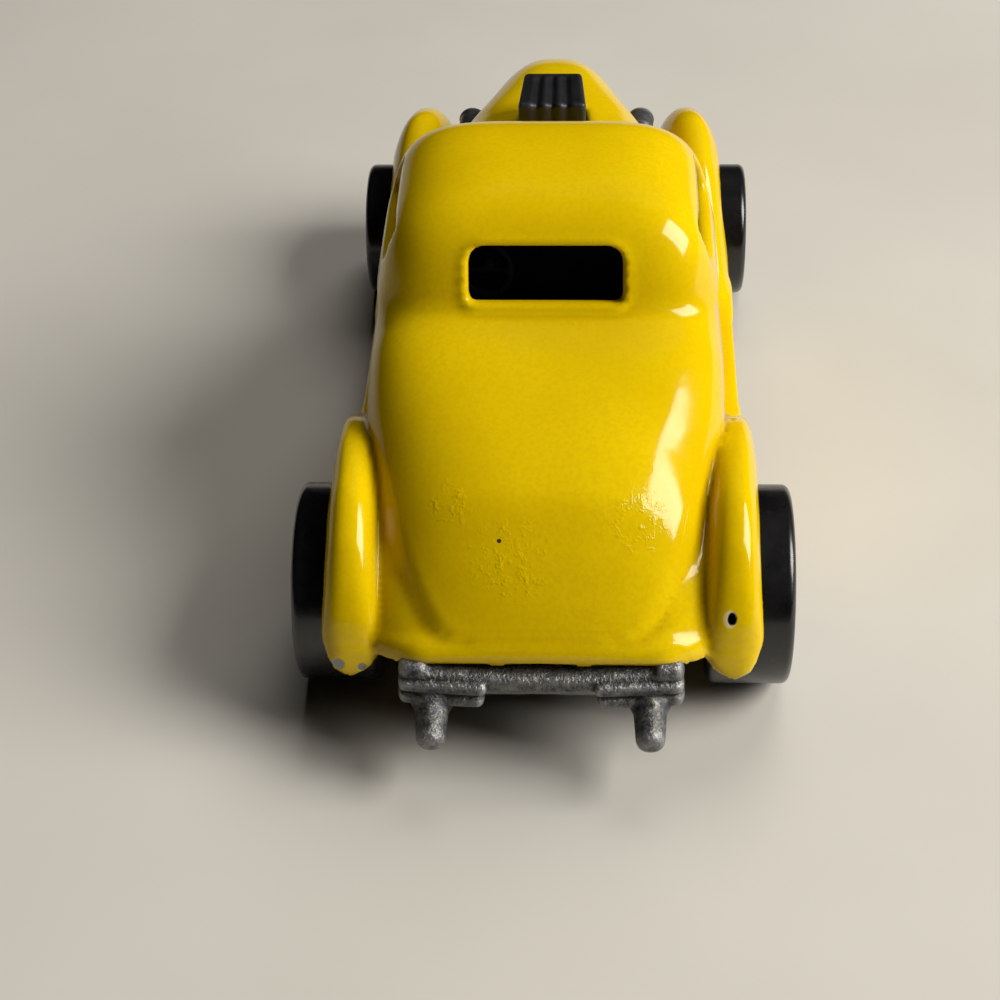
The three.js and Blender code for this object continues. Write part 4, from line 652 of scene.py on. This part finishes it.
base = merged(plate, riser, 0.5)
ball = np.sqrt(x ** 2 + (y - 0.6) ** 2 + (z - BASE_LOW) ** 2) - 1.35
for relief in (
        rod(x, y, z, 1, 26.3, 0.7, 0.8), rod(x, y, z, 25.3, 33.2, 0.9, 1.2),
        rod(x, y, z, 32.7, 39.2, 1.35, 1.35), rod(x, y, z, -4.7, 31.3, 0.6, 0.6, across=5.4), ball,
        saddle(x, y, z, 7.1, 0, REAR_RADIUS), saddle(x, y, z, 2.85, WHEELBASE, FRONT_RADIUS)):
    base = merged(base, relief, 0.3)
for rivet_y in (REAR_POST, FRONT_POST):
    around = np.sqrt(x ** 2 + (y - rivet_y) ** 2)
    base = carved(base, around - 0.9, 0.1)
    base = carved(base, np.maximum(around - 2.0, z - 3.3), 0.1)
base_piece = new_piece("base", *skin(*mirrored(base, x), y, z, BASE_STEP))
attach(base_piece, "body")
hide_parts("chassis_base")


def ramp(node, value, *stops):
    """A colour ramp over a value with (place, colour) stops."""
    band = node("ShaderNodeValToRGB", {"Fac": value})
    elements = band.color_ramp.elements
    while len(elements) < len(stops):
        elements.new(0.5)
    for element, (place, colour) in zip(elements, stops):
        element.position = place
        element.color = (*colour, 1)
    return band.outputs["Color"]


BLUE_GREY, MID_GREY, TAN_GREY = (0.034, 0.039, 0.050), (0.088, 0.094, 0.106), (0.25, 0.235, 0.20)
ZINC_SPECK, RUBBED_ZINC, CREVICE_SHADE = (0.21, 0.20, 0.175), (0.5, 0.5, 0.51), (0.035, 0.035, 0.04)
zinc, node, feed, place = finish("bare_zinc", metallic=0.7)
cloud = grain(node, place, 1500, 5, 0.65, start=0.35, end=0.65, low=0.5, high=0.3)
fine = grain(node, place, 5200, 3, 0.6, start=0.42, end=0.66, low=0.0, high=0.7)
tone = ramp(node, cloud["Noise"], (0.36, BLUE_GREY), (0.5, MID_GREY), (0.66, TAN_GREY))
tone = mixed(node, fine["Value"], tone, ZINC_SPECK)
tone = edge_wear_and_recess_shade(node, tone, RUBBED_ZINC, 0.3, 0.3, 0.95, 0.6)
# The recesses darken towards near black: painted shade in the crevices.
tone = edge_wear_and_recess_shade(node, tone, CREVICE_SHADE, -0.4, 0.1, 0.9, 0.9)
feed("Base Color", tone)
feed("Roughness", cloud["Value"])
height = sums(node, "ADD", cloud["Noise"], sums(node, "MULTIPLY", fine["Noise"], 0.35))
embossed(node, feed, height, 1.0, 0.2)
base_piece.data.materials.append(zinc)

# The rear bumper is cast with the base, of the same bare zinc: a thin bar across the tail with stepped
# ends, bowed back in the middle, and the stubs of two tail pipes that slope down behind it.
BUMPER_STEP = 0.12
BUMPER_BACK, BUMPER_HEIGHT, BUMPER_HALF = -9.9, 7.1, 8.9
x, y, z = lattice(9.3, (-13.7, -7.4), (3.6, 8.9), BUMPER_STEP)


def rib(x, y, z, start, end, height, depth, thick, set_back, sag=0.0):
    """A bar across the car with a rounded box section and rounded ends. Its plan bows back towards
    the middle of the bumper, and it sags there by the amount given."""
    share = 1 - (x / BUMPER_HALF) ** 2
    middle = BUMPER_BACK + set_back + depth / 2 - 0.5 * share
    end_round = min(depth, thick) / 2
    past = np.maximum(np.maximum(start + end_round - x, x - end + end_round), 0) / end_round
    up = np.abs(z - height + sag * share) / (thick / 2)
    back = np.abs(y - middle) / (depth / 2)
    return ((past ** 2.6 + up ** 2.6 + back ** 2.6) ** (1 / 2.6) - 1) * end_round


BAR_END = BUMPER_HALF - 0.1
bumper = rib(x, y, z, -9, BAR_END, BUMPER_HEIGHT + 0.2, 1.7, 1.4, 0.1, 0.3)
for part, soft in (
        (rib(x, y, z, 7.1, BAR_END, BUMPER_HEIGHT + 0.75, 1.5, 1.1, 0.1), 0.5),
        (rib(x, y, z, 3.3, BUMPER_HALF, BUMPER_HEIGHT - 0.15, 1.5, 1.0, -0.4), 0.1),
        (rib(x, y, z, 3.5, BUMPER_HALF + 0.05, BUMPER_HEIGHT - 1.15, 1.8, 1.15, -0.4), 0.1)):
    bumper = merged(bumper, part, soft)
PIPE_X, PIPE_ROOT, PIPE_TIP = 6.8, (-8.9, 5.7), (-13.05, 4.6)
run = np.array(PIPE_TIP) - np.array(PIPE_ROOT)
length = np.linalg.norm(run)
along = ((y - PIPE_ROOT[0]) * run[0] + (z - PIPE_ROOT[1]) * run[1]) / length
aside = ((y - PIPE_ROOT[0]) * run[1] - (z - PIPE_ROOT[1]) * run[0]) / length
radius = np.interp(along, [0, 1.3, 1.8, length], [1.35, 1.3, 1.05, 0.88])
pipe = np.sqrt((x - PIPE_X) ** 2 + aside ** 2) - radius
pipe = carved(pipe, -np.maximum(along - length, -along), 0.7)
bumper = merged(bumper, pipe, 0.15)
bumper_piece = new_piece("rear_bumper", *skin(*mirrored(bumper, x), y, z, BUMPER_STEP))
bumper_piece.data.materials.append(zinc)
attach(bumper_piece, "body")
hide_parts("chassis_base")


# Two rivets hold base and body together: each shank goes up into a post of the body, and its end is
# spun over into a domed head in the base's seat.
def turned(profile, steps, centre, axis):
    """A closed surface of revolution: the (radius, along) profile carried round an axis, 0 for X and
    2 for Z, through the centre. Radius 0 closes it with a pole."""
    radius, along = np.array(profile, float).T
    angle = np.arange(steps) * 2 * np.pi / steps
    ring = np.zeros((len(profile), steps, 3))
    side, up = [(1, 2), (2, 0), (0, 1)][axis]
    ring[..., axis] = along[:, None]
    ring[..., side] = radius[:, None] * np.cos(angle)
    ring[..., up] = radius[:, None] * np.sin(angle)
    row = np.arange(len(profile) - 1)[:, None] * steps
    column = np.arange(steps)[None, :]
    after = (column + 1) % steps
    faces = np.stack([row + column, row + after, row + steps + after, row + steps + column], -1)
    return ring.reshape(-1, 3) + np.array(centre), faces.reshape(-1, 4)


def welded(piece):
    """The piece with its poles and seams merged and its faces turned outwards."""
    mesh = bmesh.new()
    mesh.from_mesh(piece.data)
    bmesh.ops.remove_doubles(mesh, verts=mesh.verts, dist=1e-7)
    bmesh.ops.dissolve_degenerate(mesh, dist=1e-8, edges=mesh.edges)
    bmesh.ops.recalc_face_normals(mesh, faces=mesh.faces)
    mesh.to_mesh(piece.data)
    mesh.free()
    return piece


HEAD_WIDE, HEAD_HIGH, SHANK, SHANK_TOP, SEAT_HEIGHT = 1.7, 0.65, 0.8, 5.5, 3.15
for name, along in (("rear_rivet", REAR_POST), ("front_rivet", FRONT_POST)):
    quarter = np.linspace(0, math.pi / 2, 12)
    dome = np.column_stack([HEAD_WIDE * np.sin(quarter), -0.1 - HEAD_HIGH * np.cos(quarter)]).tolist()
    profile = dome + [
        [HEAD_WIDE, 0], [HEAD_WIDE - 0.1, 0], [SHANK, 0], [SHANK, SHANK_TOP - 0.1],
        [SHANK - 0.1, SHANK_TOP], [0, SHANK_TOP]]
    piece = welded(new_piece(name + "_spun", *turned(profile, 40, (0, along, SEAT_HEIGHT), 2)))
    piece.data.materials.append(zinc)
    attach(piece, "body")
    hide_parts(name)

# The seat moulding is one black plastic tray between base and body: floor, bench seat, dash and a
# small steering wheel. It is what stays dark behind the windows, and its black is set darker than the
# scoop's black plastic as painted shade for the inside of the cab.
TUB_STEP = 0.262
TUB_HALF, TUB_BACK, TUB_FRONT, TUB_LOW, TUB_TOP = 9.1, 11.8, 27.2, 4.5, 16.1
x, y, z = spread(*(np.arange(*ends, TUB_STEP) for ends in ((-9.7, 9.9), (11.2, 27.9), (3.9, 18.3))))
tub = rounded_block(x, y, z, (-TUB_HALF, TUB_BACK, TUB_LOW), (TUB_HALF, TUB_FRONT, TUB_TOP), 0.5)
tub = carved(tub, rounded_block(x, y, z, (-8, 12.9, 5.6), (8, 26.1, 20), 0.6), 0.3)
cushion = rounded_block(x, y, z, (-8.5, 12.2, 5), (8.5, 19.6, 10.5), 0.9)
back_rest = rounded_block(x, y + (z - 8) * 0.12, z, (-8.5, 12.4, 5), (8.5, 14.9, 17.3), 0.9)
dash = rounded_block(x, y - (z - 14) * 0.1, z, (-8, 24.8, 12.1), (8, 26.9, 16.7), 0.7)
for part in (cushion, back_rest, dash):
    tub = merged(tub, part, 0.4)
TILT, COLUMN_X, STEERING_Y, STEERING_Z, STEERING_RADIUS = 0.45, -4.55, 22.6, 15.7, 1.7
wheel_y, wheel_z = y - STEERING_Y, z - STEERING_Z
off = wheel_y * math.cos(TILT) - wheel_z * math.sin(TILT)
up = wheel_y * math.sin(TILT) + wheel_z * math.cos(TILT)
reach = np.sqrt((x - COLUMN_X) ** 2 + up ** 2)
steering = np.sqrt((reach - STEERING_RADIUS) ** 2 + off ** 2) - 0.3
spokes = np.maximum(np.sqrt(up ** 2 + off ** 2) - 0.28, np.abs(x - COLUMN_X) - STEERING_RADIUS)
column = np.maximum(reach - 0.38, np.maximum(-off, off - 3.2))
tub = np.minimum(tub, merged(merged(steering, spokes, 0.2), column, 0.2))
tub_piece = new_piece("seat_moulding", *skin(tub, x, y, z, TUB_STEP))
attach(tub_piece, "body")
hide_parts("interior_tub")

# Black plastic made darker than the scoop's: partly the moulding's own black, partly painted shade for the
# cab's inside.
SHADED_SEAT_DARK, SHADED_SEAT_LIGHT = (0.002, 0.002, 0.002), (0.004, 0.004, 0.004)
shaded_seat_black, node, feed, place = finish("black_seat_in_shade", specular_ior_level=0.08)
fine = grain(node, place, 5200, 3, 0.6, start=0.3, end=0.7, low=0.75, high=0.9)
feed("Base Color", grain(node, place, 400, start=0.35, end=0.7, dark=SHADED_SEAT_DARK, light=SHADED_SEAT_LIGHT)["Tone"])
feed("Roughness", fine["Value"])
embossed(node, feed, fine["Noise"], 0.3, 0.04)
tub_piece.data.materials.append(shaded_seat_black)

# The scoop is a black moulding that stands through the hood: fluted over its top and down its back,
# with an intake in front, and a flange and block below the hood that hold it.
SCOOP_STEP = 0.13
SCOOP_TOP = 22.9
x, y, z = lattice(3.6, (SCOOP_BACK - 1.2, SCOOP_FRONT + 1.2), (4.1, SCOOP_TOP + 0.5), SCOOP_STEP)
half = scoop_half(y)


def stand(x, y, z, half, back, front, low, high, corner):
    """A block whose half width changes along Y, between two heights, with rounded edges."""
    aside = x - half + corner
    beyond = np.maximum(back + corner - y, y - front + corner)
    round_past = np.sqrt(np.maximum(aside, 0) ** 2 + np.maximum(beyond, 0) ** 2)
    deepest = np.maximum(aside, beyond)
    sides = np.where(deepest > 0, round_past, deepest) - corner
    ends = np.maximum(low - z, z - high)
    return carved(sides, -ends, corner)


FLUTE, FLUTE_DEPTH = 1.12, 0.26
across = x * SCOOP_HALF / half
wave = np.abs(np.mod(across + FLUTE / 2, FLUTE) - FLUTE / 2) / (FLUTE / 2)
dip = FLUTE_DEPTH * (1 - wave) ** 1.6 * (np.abs(across) < 1.5 * FLUTE)
scoop = stand(x, y, z, half, SCOOP_BACK, SCOOP_FRONT, 15.0, SCOOP_TOP, 0.35)
near_top = np.clip((z - 19.0) / 0.6, 0, 1)
scoop = scoop + dip * near_top * np.clip((SCOOP_FRONT - 0.35 - y) / 0.5, 0, 1)
mouth = (-1.7, SCOOP_FRONT - 1.2, SCOOP_TOP - 1.75), (1.7, SCOOP_FRONT + 1, SCOOP_TOP - 0.6)
intake = rounded_block(x, y, z, *mouth, 0.3)
scoop = carved(scoop, intake, 0.15)
flange = stand(x, y, z, half + 0.7, SCOOP_BACK - 0.7, SCOOP_FRONT + 0.7, 16.4, 17.4, 0.2)
block = stand(x, y, z, half - 0.4, SCOOP_BACK + 0.4, SCOOP_FRONT - 0.4, 4.55, 16.9, 0.3)
scoop = merged(merged(scoop, flange, 0.2), block, 0.2)
scoop_piece = new_piece("hood_scoop", *skin(*mirrored(scoop, x), y, z, SCOOP_STEP))
MOULDED_DARK, MOULDED_LIGHT, SCUFFED = (0.007, 0.007, 0.008), (0.012, 0.012, 0.014), (0.04, 0.04, 0.044)
moulding, node, feed, place = finish("black_moulding", specular_ior_level=0.4)
fine = grain(node, place, 6500, 3, 0.6, start=0.3, end=0.7, low=0.38, high=0.55)
tone = grain(node, place, 500, start=0.35, end=0.7, dark=MOULDED_DARK, light=MOULDED_LIGHT)["Tone"]
feed("Base Color", edge_wear_and_recess_shade(node, tone, SCUFFED, 0.22, 0.2, 0.9, 0.5))
feed("Roughness", fine["Value"])
embossed(node, feed, fine["Noise"], 0.35, 0.04)
scoop_piece.data.materials.append(moulding)
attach(scoop_piece, "body")
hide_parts("engine_scoop")

# Each headlamp is a small bare metal bullet with a rim round its lens, cast with the stem that drops
# through the fender valley. The left one is the right one's mirror image.
LAMP_STEP = 0.085
LAMP_HALF = 1.3
x, y, z = spread(*(np.arange(*ends, LAMP_STEP) for ends in ((5.2, 8.4), (45.5, 48.9), (8.1, 14.6))))
away = np.sqrt((x - LAMP_X) ** 2 + (z - LAMP_HEIGHT) ** 2)
forward = y - LAMP_Y
taper = np.interp(forward, [-LAMP_HALF, -1.1, -0.6, 0.2, LAMP_HALF], [0.2, 0.62, 0.9, 1.02, 1.02])
bullet = carved((away - taper) * 0.8, LAMP_HALF - np.abs(forward), 0.35)
ring = np.sqrt((away - 0.92) ** 2 + (forward - 1.05) ** 2) - 0.18
lamp = merged(bullet, ring, 0.08)
lens_dip = np.sqrt(away ** 2 + (forward - 2.35) ** 2) - 1.3
lamp = carved(lamp, np.maximum(lens_dip, away - 0.74), 0.08)
glass = np.sqrt(away ** 2 + (forward + 0.35) ** 2) - 1.62
lamp = merged(lamp, np.maximum(np.maximum(glass, away - 0.72), -forward), 0.05)
stem_away = np.sqrt((x - LAMP_X) ** 2 + (y - LAMP_Y) ** 2)
stem = np.maximum(stem_away - 0.47, np.maximum(8.5 - z, z - LAMP_HEIGHT))
lamp = merged(lamp, stem, 0.25)
lamp_skin = skin(lamp, x, y, z, LAMP_STEP)


def flipped(places, faces, normals, bend):
    """The mirror image of a skin across the car's middle, its faces turned to stay outwards."""
    across = np.array([-1.0, 1.0, 1.0])
    return places * across, faces[:, ::-1], normals * across, bend


DULL_METAL, PALE_METAL, RUBBED_METAL = (0.060, 0.062, 0.068), (0.17, 0.17, 0.18), (0.5, 0.5, 0.52)
dark_metal, node, feed, place = finish("dark_metal", metallic=0.6)
cloud = grain(node, place, 1600, 4, 0.6, start=0.32, end=0.7, dark=DULL_METAL, light=PALE_METAL)
fine = grain(node, place, 7000, 2, 0.6)
feed("Base Color", edge_wear_and_recess_shade(node, cloud["Tone"], RUBBED_METAL, 0.16, 0.3, 0.95, 0.8))
feed("Roughness", ranged(node, cloud["Noise"], 0.3, 0.75, 0.5, 0.3))
height = sums(node, "ADD", cloud["Noise"], sums(node, "MULTIPLY", fine["Noise"], 0.5))
embossed(node, feed, height, 0.4, 0.06)
for name, shape in (("right", lamp_skin), ("left", flipped(*lamp_skin))):
    piece = new_piece("lamp_" + name, *shape)
    piece.data.materials.append(dark_metal)
    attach(piece, "body")
    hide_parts("headlight_" + name)

# The grille is a thin cast shield of the same dark metal, its upright bars standing in a sunk field,
# set into the opening in the nose.
GRILLE_STEP = 0.085
GRILLE_BACK, GRILLE_FRONT = 49.65, 50.7
x, y, z = lattice(2.0, (GRILLE_BACK - 0.4, GRILLE_FRONT + 0.5), (6.1, 15.6), GRILLE_STEP)
outline = curve([
    [6.2, -0.3], [6.6, 0.1], [8, 1.0], [10, 1.35], [12.4, 1.5], [14, 1.25], [14.9, 0.6], [15.3, -0.3]])
inside = x - outline(z)
plate = np.maximum(inside, np.abs(y - (GRILLE_BACK + GRILLE_FRONT) / 2) - 0.52)
grille = carved(plate, np.maximum(inside + 0.3, GRILLE_FRONT - 0.5 - y), 0.1)
BAR_PITCH = 0.5
bar = np.abs(np.mod(x + BAR_PITCH / 2, BAR_PITCH) - BAR_PITCH / 2)
bars = np.sqrt(bar ** 2 + (y - GRILLE_FRONT + 0.45) ** 2) - 0.16
bars = np.maximum(np.maximum(bars, inside + 0.12), np.maximum(8.2 - z, z - 14.6))
grille = merged(grille, bars, 0.06)
piece = new_piece("grille", *skin(*mirrored(grille, x), y, z, GRILLE_STEP))
piece.data.materials.append(dark_metal)
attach(piece, "body")
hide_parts("grille_insert")

# The axles are straight lengths of drawn steel wire that turn in the saddles of the base. Each end is
# pressed into a small round head that keeps the wheel on.
REAR_FACE, FRONT_FACE = 15.9, 15.2
AXLE_RADIUS, HEAD_RADIUS, HEAD_LENGTH, HEAD_SINK = 0.5, 1.0, 0.5, 0.8
STEEL_DARK, STEEL_LIGHT = (0.40, 0.40, 0.41), (0.58, 0.57, 0.56)
steel, node, feed, place = finish("steel_wire", metallic=1.0)
stretched = node("ShaderNodeMapping", {"Vector": place, "Scale": (0.08, 1.0, 1.0)}).outputs["Vector"]
drawn = grain(node, stretched, 6000, 3, 0.6, dark=STEEL_DARK, light=STEEL_LIGHT)
feed("Base Color", drawn["Tone"])
feed("Roughness", grain(node, place, 800, start=0.3, end=0.7, low=0.24, high=0.42)["Value"])
embossed(node, feed, drawn["Noise"], 0.3, 0.03)
for name, face, centre in (
        ("rear_axle", REAR_FACE, (0, 0, REAR_RADIUS)),
        ("front_axle", FRONT_FACE, (0, WHEELBASE, FRONT_RADIUS))):
    start = face - HEAD_SINK
    head = [[AXLE_RADIUS, start - 0.15], [0.56, start], [0.9, start + 0.01], [HEAD_RADIUS, start + 0.1]]
    head += [[HEAD_RADIUS * math.cos(a), start + 0.18 + (HEAD_LENGTH - 0.18) * math.sin(a)]
             for a in np.linspace(0, math.pi / 2, 8)]
    head[-1][0] = 0.0
    profile = [[r, -a] for r, a in head[::-1]] + head
    piece = welded(new_piece(name + "_wire", *turned(profile, 48, centre, 0)))
    piece.data.materials.append(steel)
    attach(piece, name)
    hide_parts(name)

# Each wheel centre is a black moulding: a rim that fills the tyre, five spokes over a set-back web and
# a boss that turns on the axle. The tyre is a plain black ring pressed over it.
HUB_STEP = 0.117
SPOKES = 5
TYRE_WALL = 1.9
REAR_WIDTH, FRONT_WIDTH = 5.3, 4.3


def hub_skin(radius, width, face, along):
    """A wheel centre about its own axle. Five windows go through the web between a round boss and the
    rim, their sides leaning so that the spokes are wider at the back."""
    rim, half = radius - TYRE_WALL - 0.1, width / 2
    side = np.arange(-rim - 0.4, rim + 0.5, HUB_STEP)
    x, y, z = spread(np.arange(-half, half, HUB_STEP), side, side)
    away = np.sqrt(y ** 2 + z ** 2)
    turn = np.arctan2(z, y) - math.pi / 2
    sector = 2 * math.pi / SPOKES
    off = np.abs(np.mod(turn + sector / 2, sector) - sector / 2)
    wall = np.maximum(np.abs(away - rim + 0.35) - 0.35, np.maximum(-half + 0.5 - x, x - half + 0.4))
    set_back = np.interp(away, [0, 0.8, 1.5, rim - 0.7, rim], [0.95, 0.95, 1.3, 1.2, 1.1])
    dish = half - set_back
    web = np.maximum(np.maximum(half - 2.6 - x, x - dish), away - rim + 0.3)
    window_half = sector / 2 - 0.3 * (1 + 0.5 * np.clip((half - 1.2 - x) / 1.4, 0, 1))
    flank = (sector / 2 - off - window_half) * away
    window = np.maximum(flank, np.maximum(1.95 - away, away - rim + 1.0))
    web = carved(web, window, 0.25)
    boss = np.maximum(away - 1.5, np.maximum(-half + 0.6 - x, x - dish))
    hub = merged(merged(wall, web, 0.3), boss, 0.25)
    hub = carved(hub, away - 0.62, 0.12)
    places, faces, normals, bend = skin(hub, x, y, z, HUB_STEP)
    return places + np.array([face - half, along, radius]), faces, normals, bend


def tyre_profile(radius, width):
    """The closed outline of a tyre's section: from the inner shoulder over the tread to the outer one,
    down the outer wall with its shallow ring, and back through the bore."""
    bore, half, shoulder = radius - TYRE_WALL, width / 2, 0.5
    quarter = np.linspace(0, math.pi / 2, 14)
    round_off = np.column_stack([np.cos(quarter), np.sin(quarter)]) * shoulder
    outer = (np.array([radius - shoulder, half - shoulder]) + round_off).tolist()
    inner = [[r, -a] for r, a in outer[::-1]]
    ring = [
        [radius - 0.72, half], [radius - 0.8, half - 0.09], [radius - 0.94, half - 0.09],
        [radius - 1.02, half]]
    mouth = [[bore + 0.12, half], [bore + 0.03, half - 0.1], [bore, half - 0.3]]
    back = [[bore, -half + 0.3], [bore + 0.03, -half + 0.1], [bore + 0.12, -half]]
    return inner + outer + ring + mouth + back + [inner[0]]


TYRE_DARK, TYRE_LIGHT, DUST = (0.004, 0.004, 0.005), (0.008, 0.008, 0.009), (0.022, 0.021, 0.020)
tyre_black, node, feed, place = finish("black_tyre", coat_weight=0.25, coat_roughness=0.12)
cloud = grain(
    node, place, 260, 4, 0.6, start=0.3, end=0.7, low=0.2, high=0.36, dark=TYRE_DARK, light=TYRE_LIGHT)
dust = grain(node, place, 2400, 4, 0.7, start=0.55, end=0.8, low=0.0, high=0.5)["Value"]
feed("Base Color", mixed(node, dust, cloud["Tone"], DUST))
feed("Roughness", cloud["Value"])
embossed(node, feed, grain(node, place, 3600, 3, 0.6)["Noise"], 0.16, 0.04)
HUB_DARK, HUB_LIGHT, HUB_RUBBED = (0.011, 0.011, 0.012), (0.020, 0.020, 0.021), (0.06, 0.06, 0.06)
hub_black, node, feed, place = finish("black_hub")
cloud = grain(
    node, place, 420, 3, 0.6, start=0.3, end=0.7, low=0.22, high=0.4, dark=HUB_DARK, light=HUB_LIGHT)
feed("Base Color", edge_wear_and_recess_shade(node, cloud["Tone"], HUB_RUBBED, 0.18, 0.3, 0.95, 0.5))
feed("Roughness", cloud["Value"])
embossed(node, feed, grain(node, place, 4200, 3, 0.6)["Noise"], 0.2, 0.04)
for end, radius, width, face, along in (
        ("rear", REAR_RADIUS, REAR_WIDTH, REAR_FACE, 0.0),
        ("front", FRONT_RADIUS, FRONT_WIDTH, FRONT_FACE, WHEELBASE)):
    hub = hub_skin(radius, width, face, along)
    tyre = turned(tyre_profile(radius, width), 160, (face - width / 2, along, radius), 0)
    for side, across in (("right", 1.0), ("left", -1.0)):
        corner = end + "_" + side
        centre = new_piece("centre_" + corner, *(hub if across > 0 else flipped(*hub)))
        centre.data.materials.append(hub_black)
        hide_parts("hub_" + corner)
        ring = welded(new_piece("ring_" + corner, tyre[0] * np.array([across, 1.0, 1.0]), tyre[1]))
        ring.data.materials.append(tyre_black)
        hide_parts("tyre_" + corner)
        for piece in (centre, ring):
            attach(piece, "wheel_" + corner)

# The toy stands on a plain pale table in a light room. A window on its right gives the long highlights
# and the shadows to its left; soft daylight from the front and above fills the rest.
FLOOR_REACH = 3.0
corners = [(-1, -1), (1, -1), (1, 1), (-1, 1)]
floor_mesh = bpy.data.meshes.new("floor")
floor_mesh.from_pydata([(a * FLOOR_REACH, b * FLOOR_REACH, 0) for a, b in corners], [], [(0, 1, 2, 3)])
floor = bpy.data.objects.new("floor", floor_mesh)
bpy.context.scene.collection.objects.link(floor)
TABLE_DARK, TABLE_LIGHT = (0.58, 0.55, 0.49), (0.62, 0.59, 0.53)
table, node, feed, place = finish("table")
cloud = grain(node, place, 30, start=0.3, end=0.7, low=0.55, high=0.65, dark=TABLE_DARK, light=TABLE_LIGHT)
feed("Base Color", cloud["Tone"])
feed("Roughness", cloud["Value"])
floor_mesh.materials.append(table)


def hung(data, place, target):
    """A light put at a place, with its beam turned to a target."""
    light = bpy.data.objects.new(data.name, data)
    beam = Vector(target) - Vector(place)
    light.matrix_world = beam.to_track_quat("-Z", "Y").to_matrix().to_4x4()
    light.location = place
    bpy.context.scene.collection.objects.link(light)
    return light


window = bpy.data.lights.new("window", "AREA")
window.shape = "RECTANGLE"
window.size, window.size_y = 0.28, 0.32
window.energy = 3.9
window.color = (1.0, 0.985, 0.95)
hung(window, (0.41, -0.07, 0.33), (0, 0, 0.01))
daylight = bpy.data.lights.new("daylight", "SUN")
daylight.energy = 1.09
daylight.angle = math.radians(36)
daylight.color = (1.0, 0.98, 0.96)
hung(daylight, (0.15, 0.45, 0.6), (0, 0, 0)).visible_glossy = False
room = bpy.data.worlds.new("room")
bpy.context.scene.world = room
room.use_nodes = True
backdrop = room.node_tree.nodes["Background"].inputs
backdrop["Color"].default_value = (0.95, 0.93, 0.89, 1)
backdrop["Strength"].default_value = 0.2
room.cycles_visibility.diffuse = False
room.cycles_visibility.glossy = False
bpy.context.scene.view_settings.view_transform = "Standard"
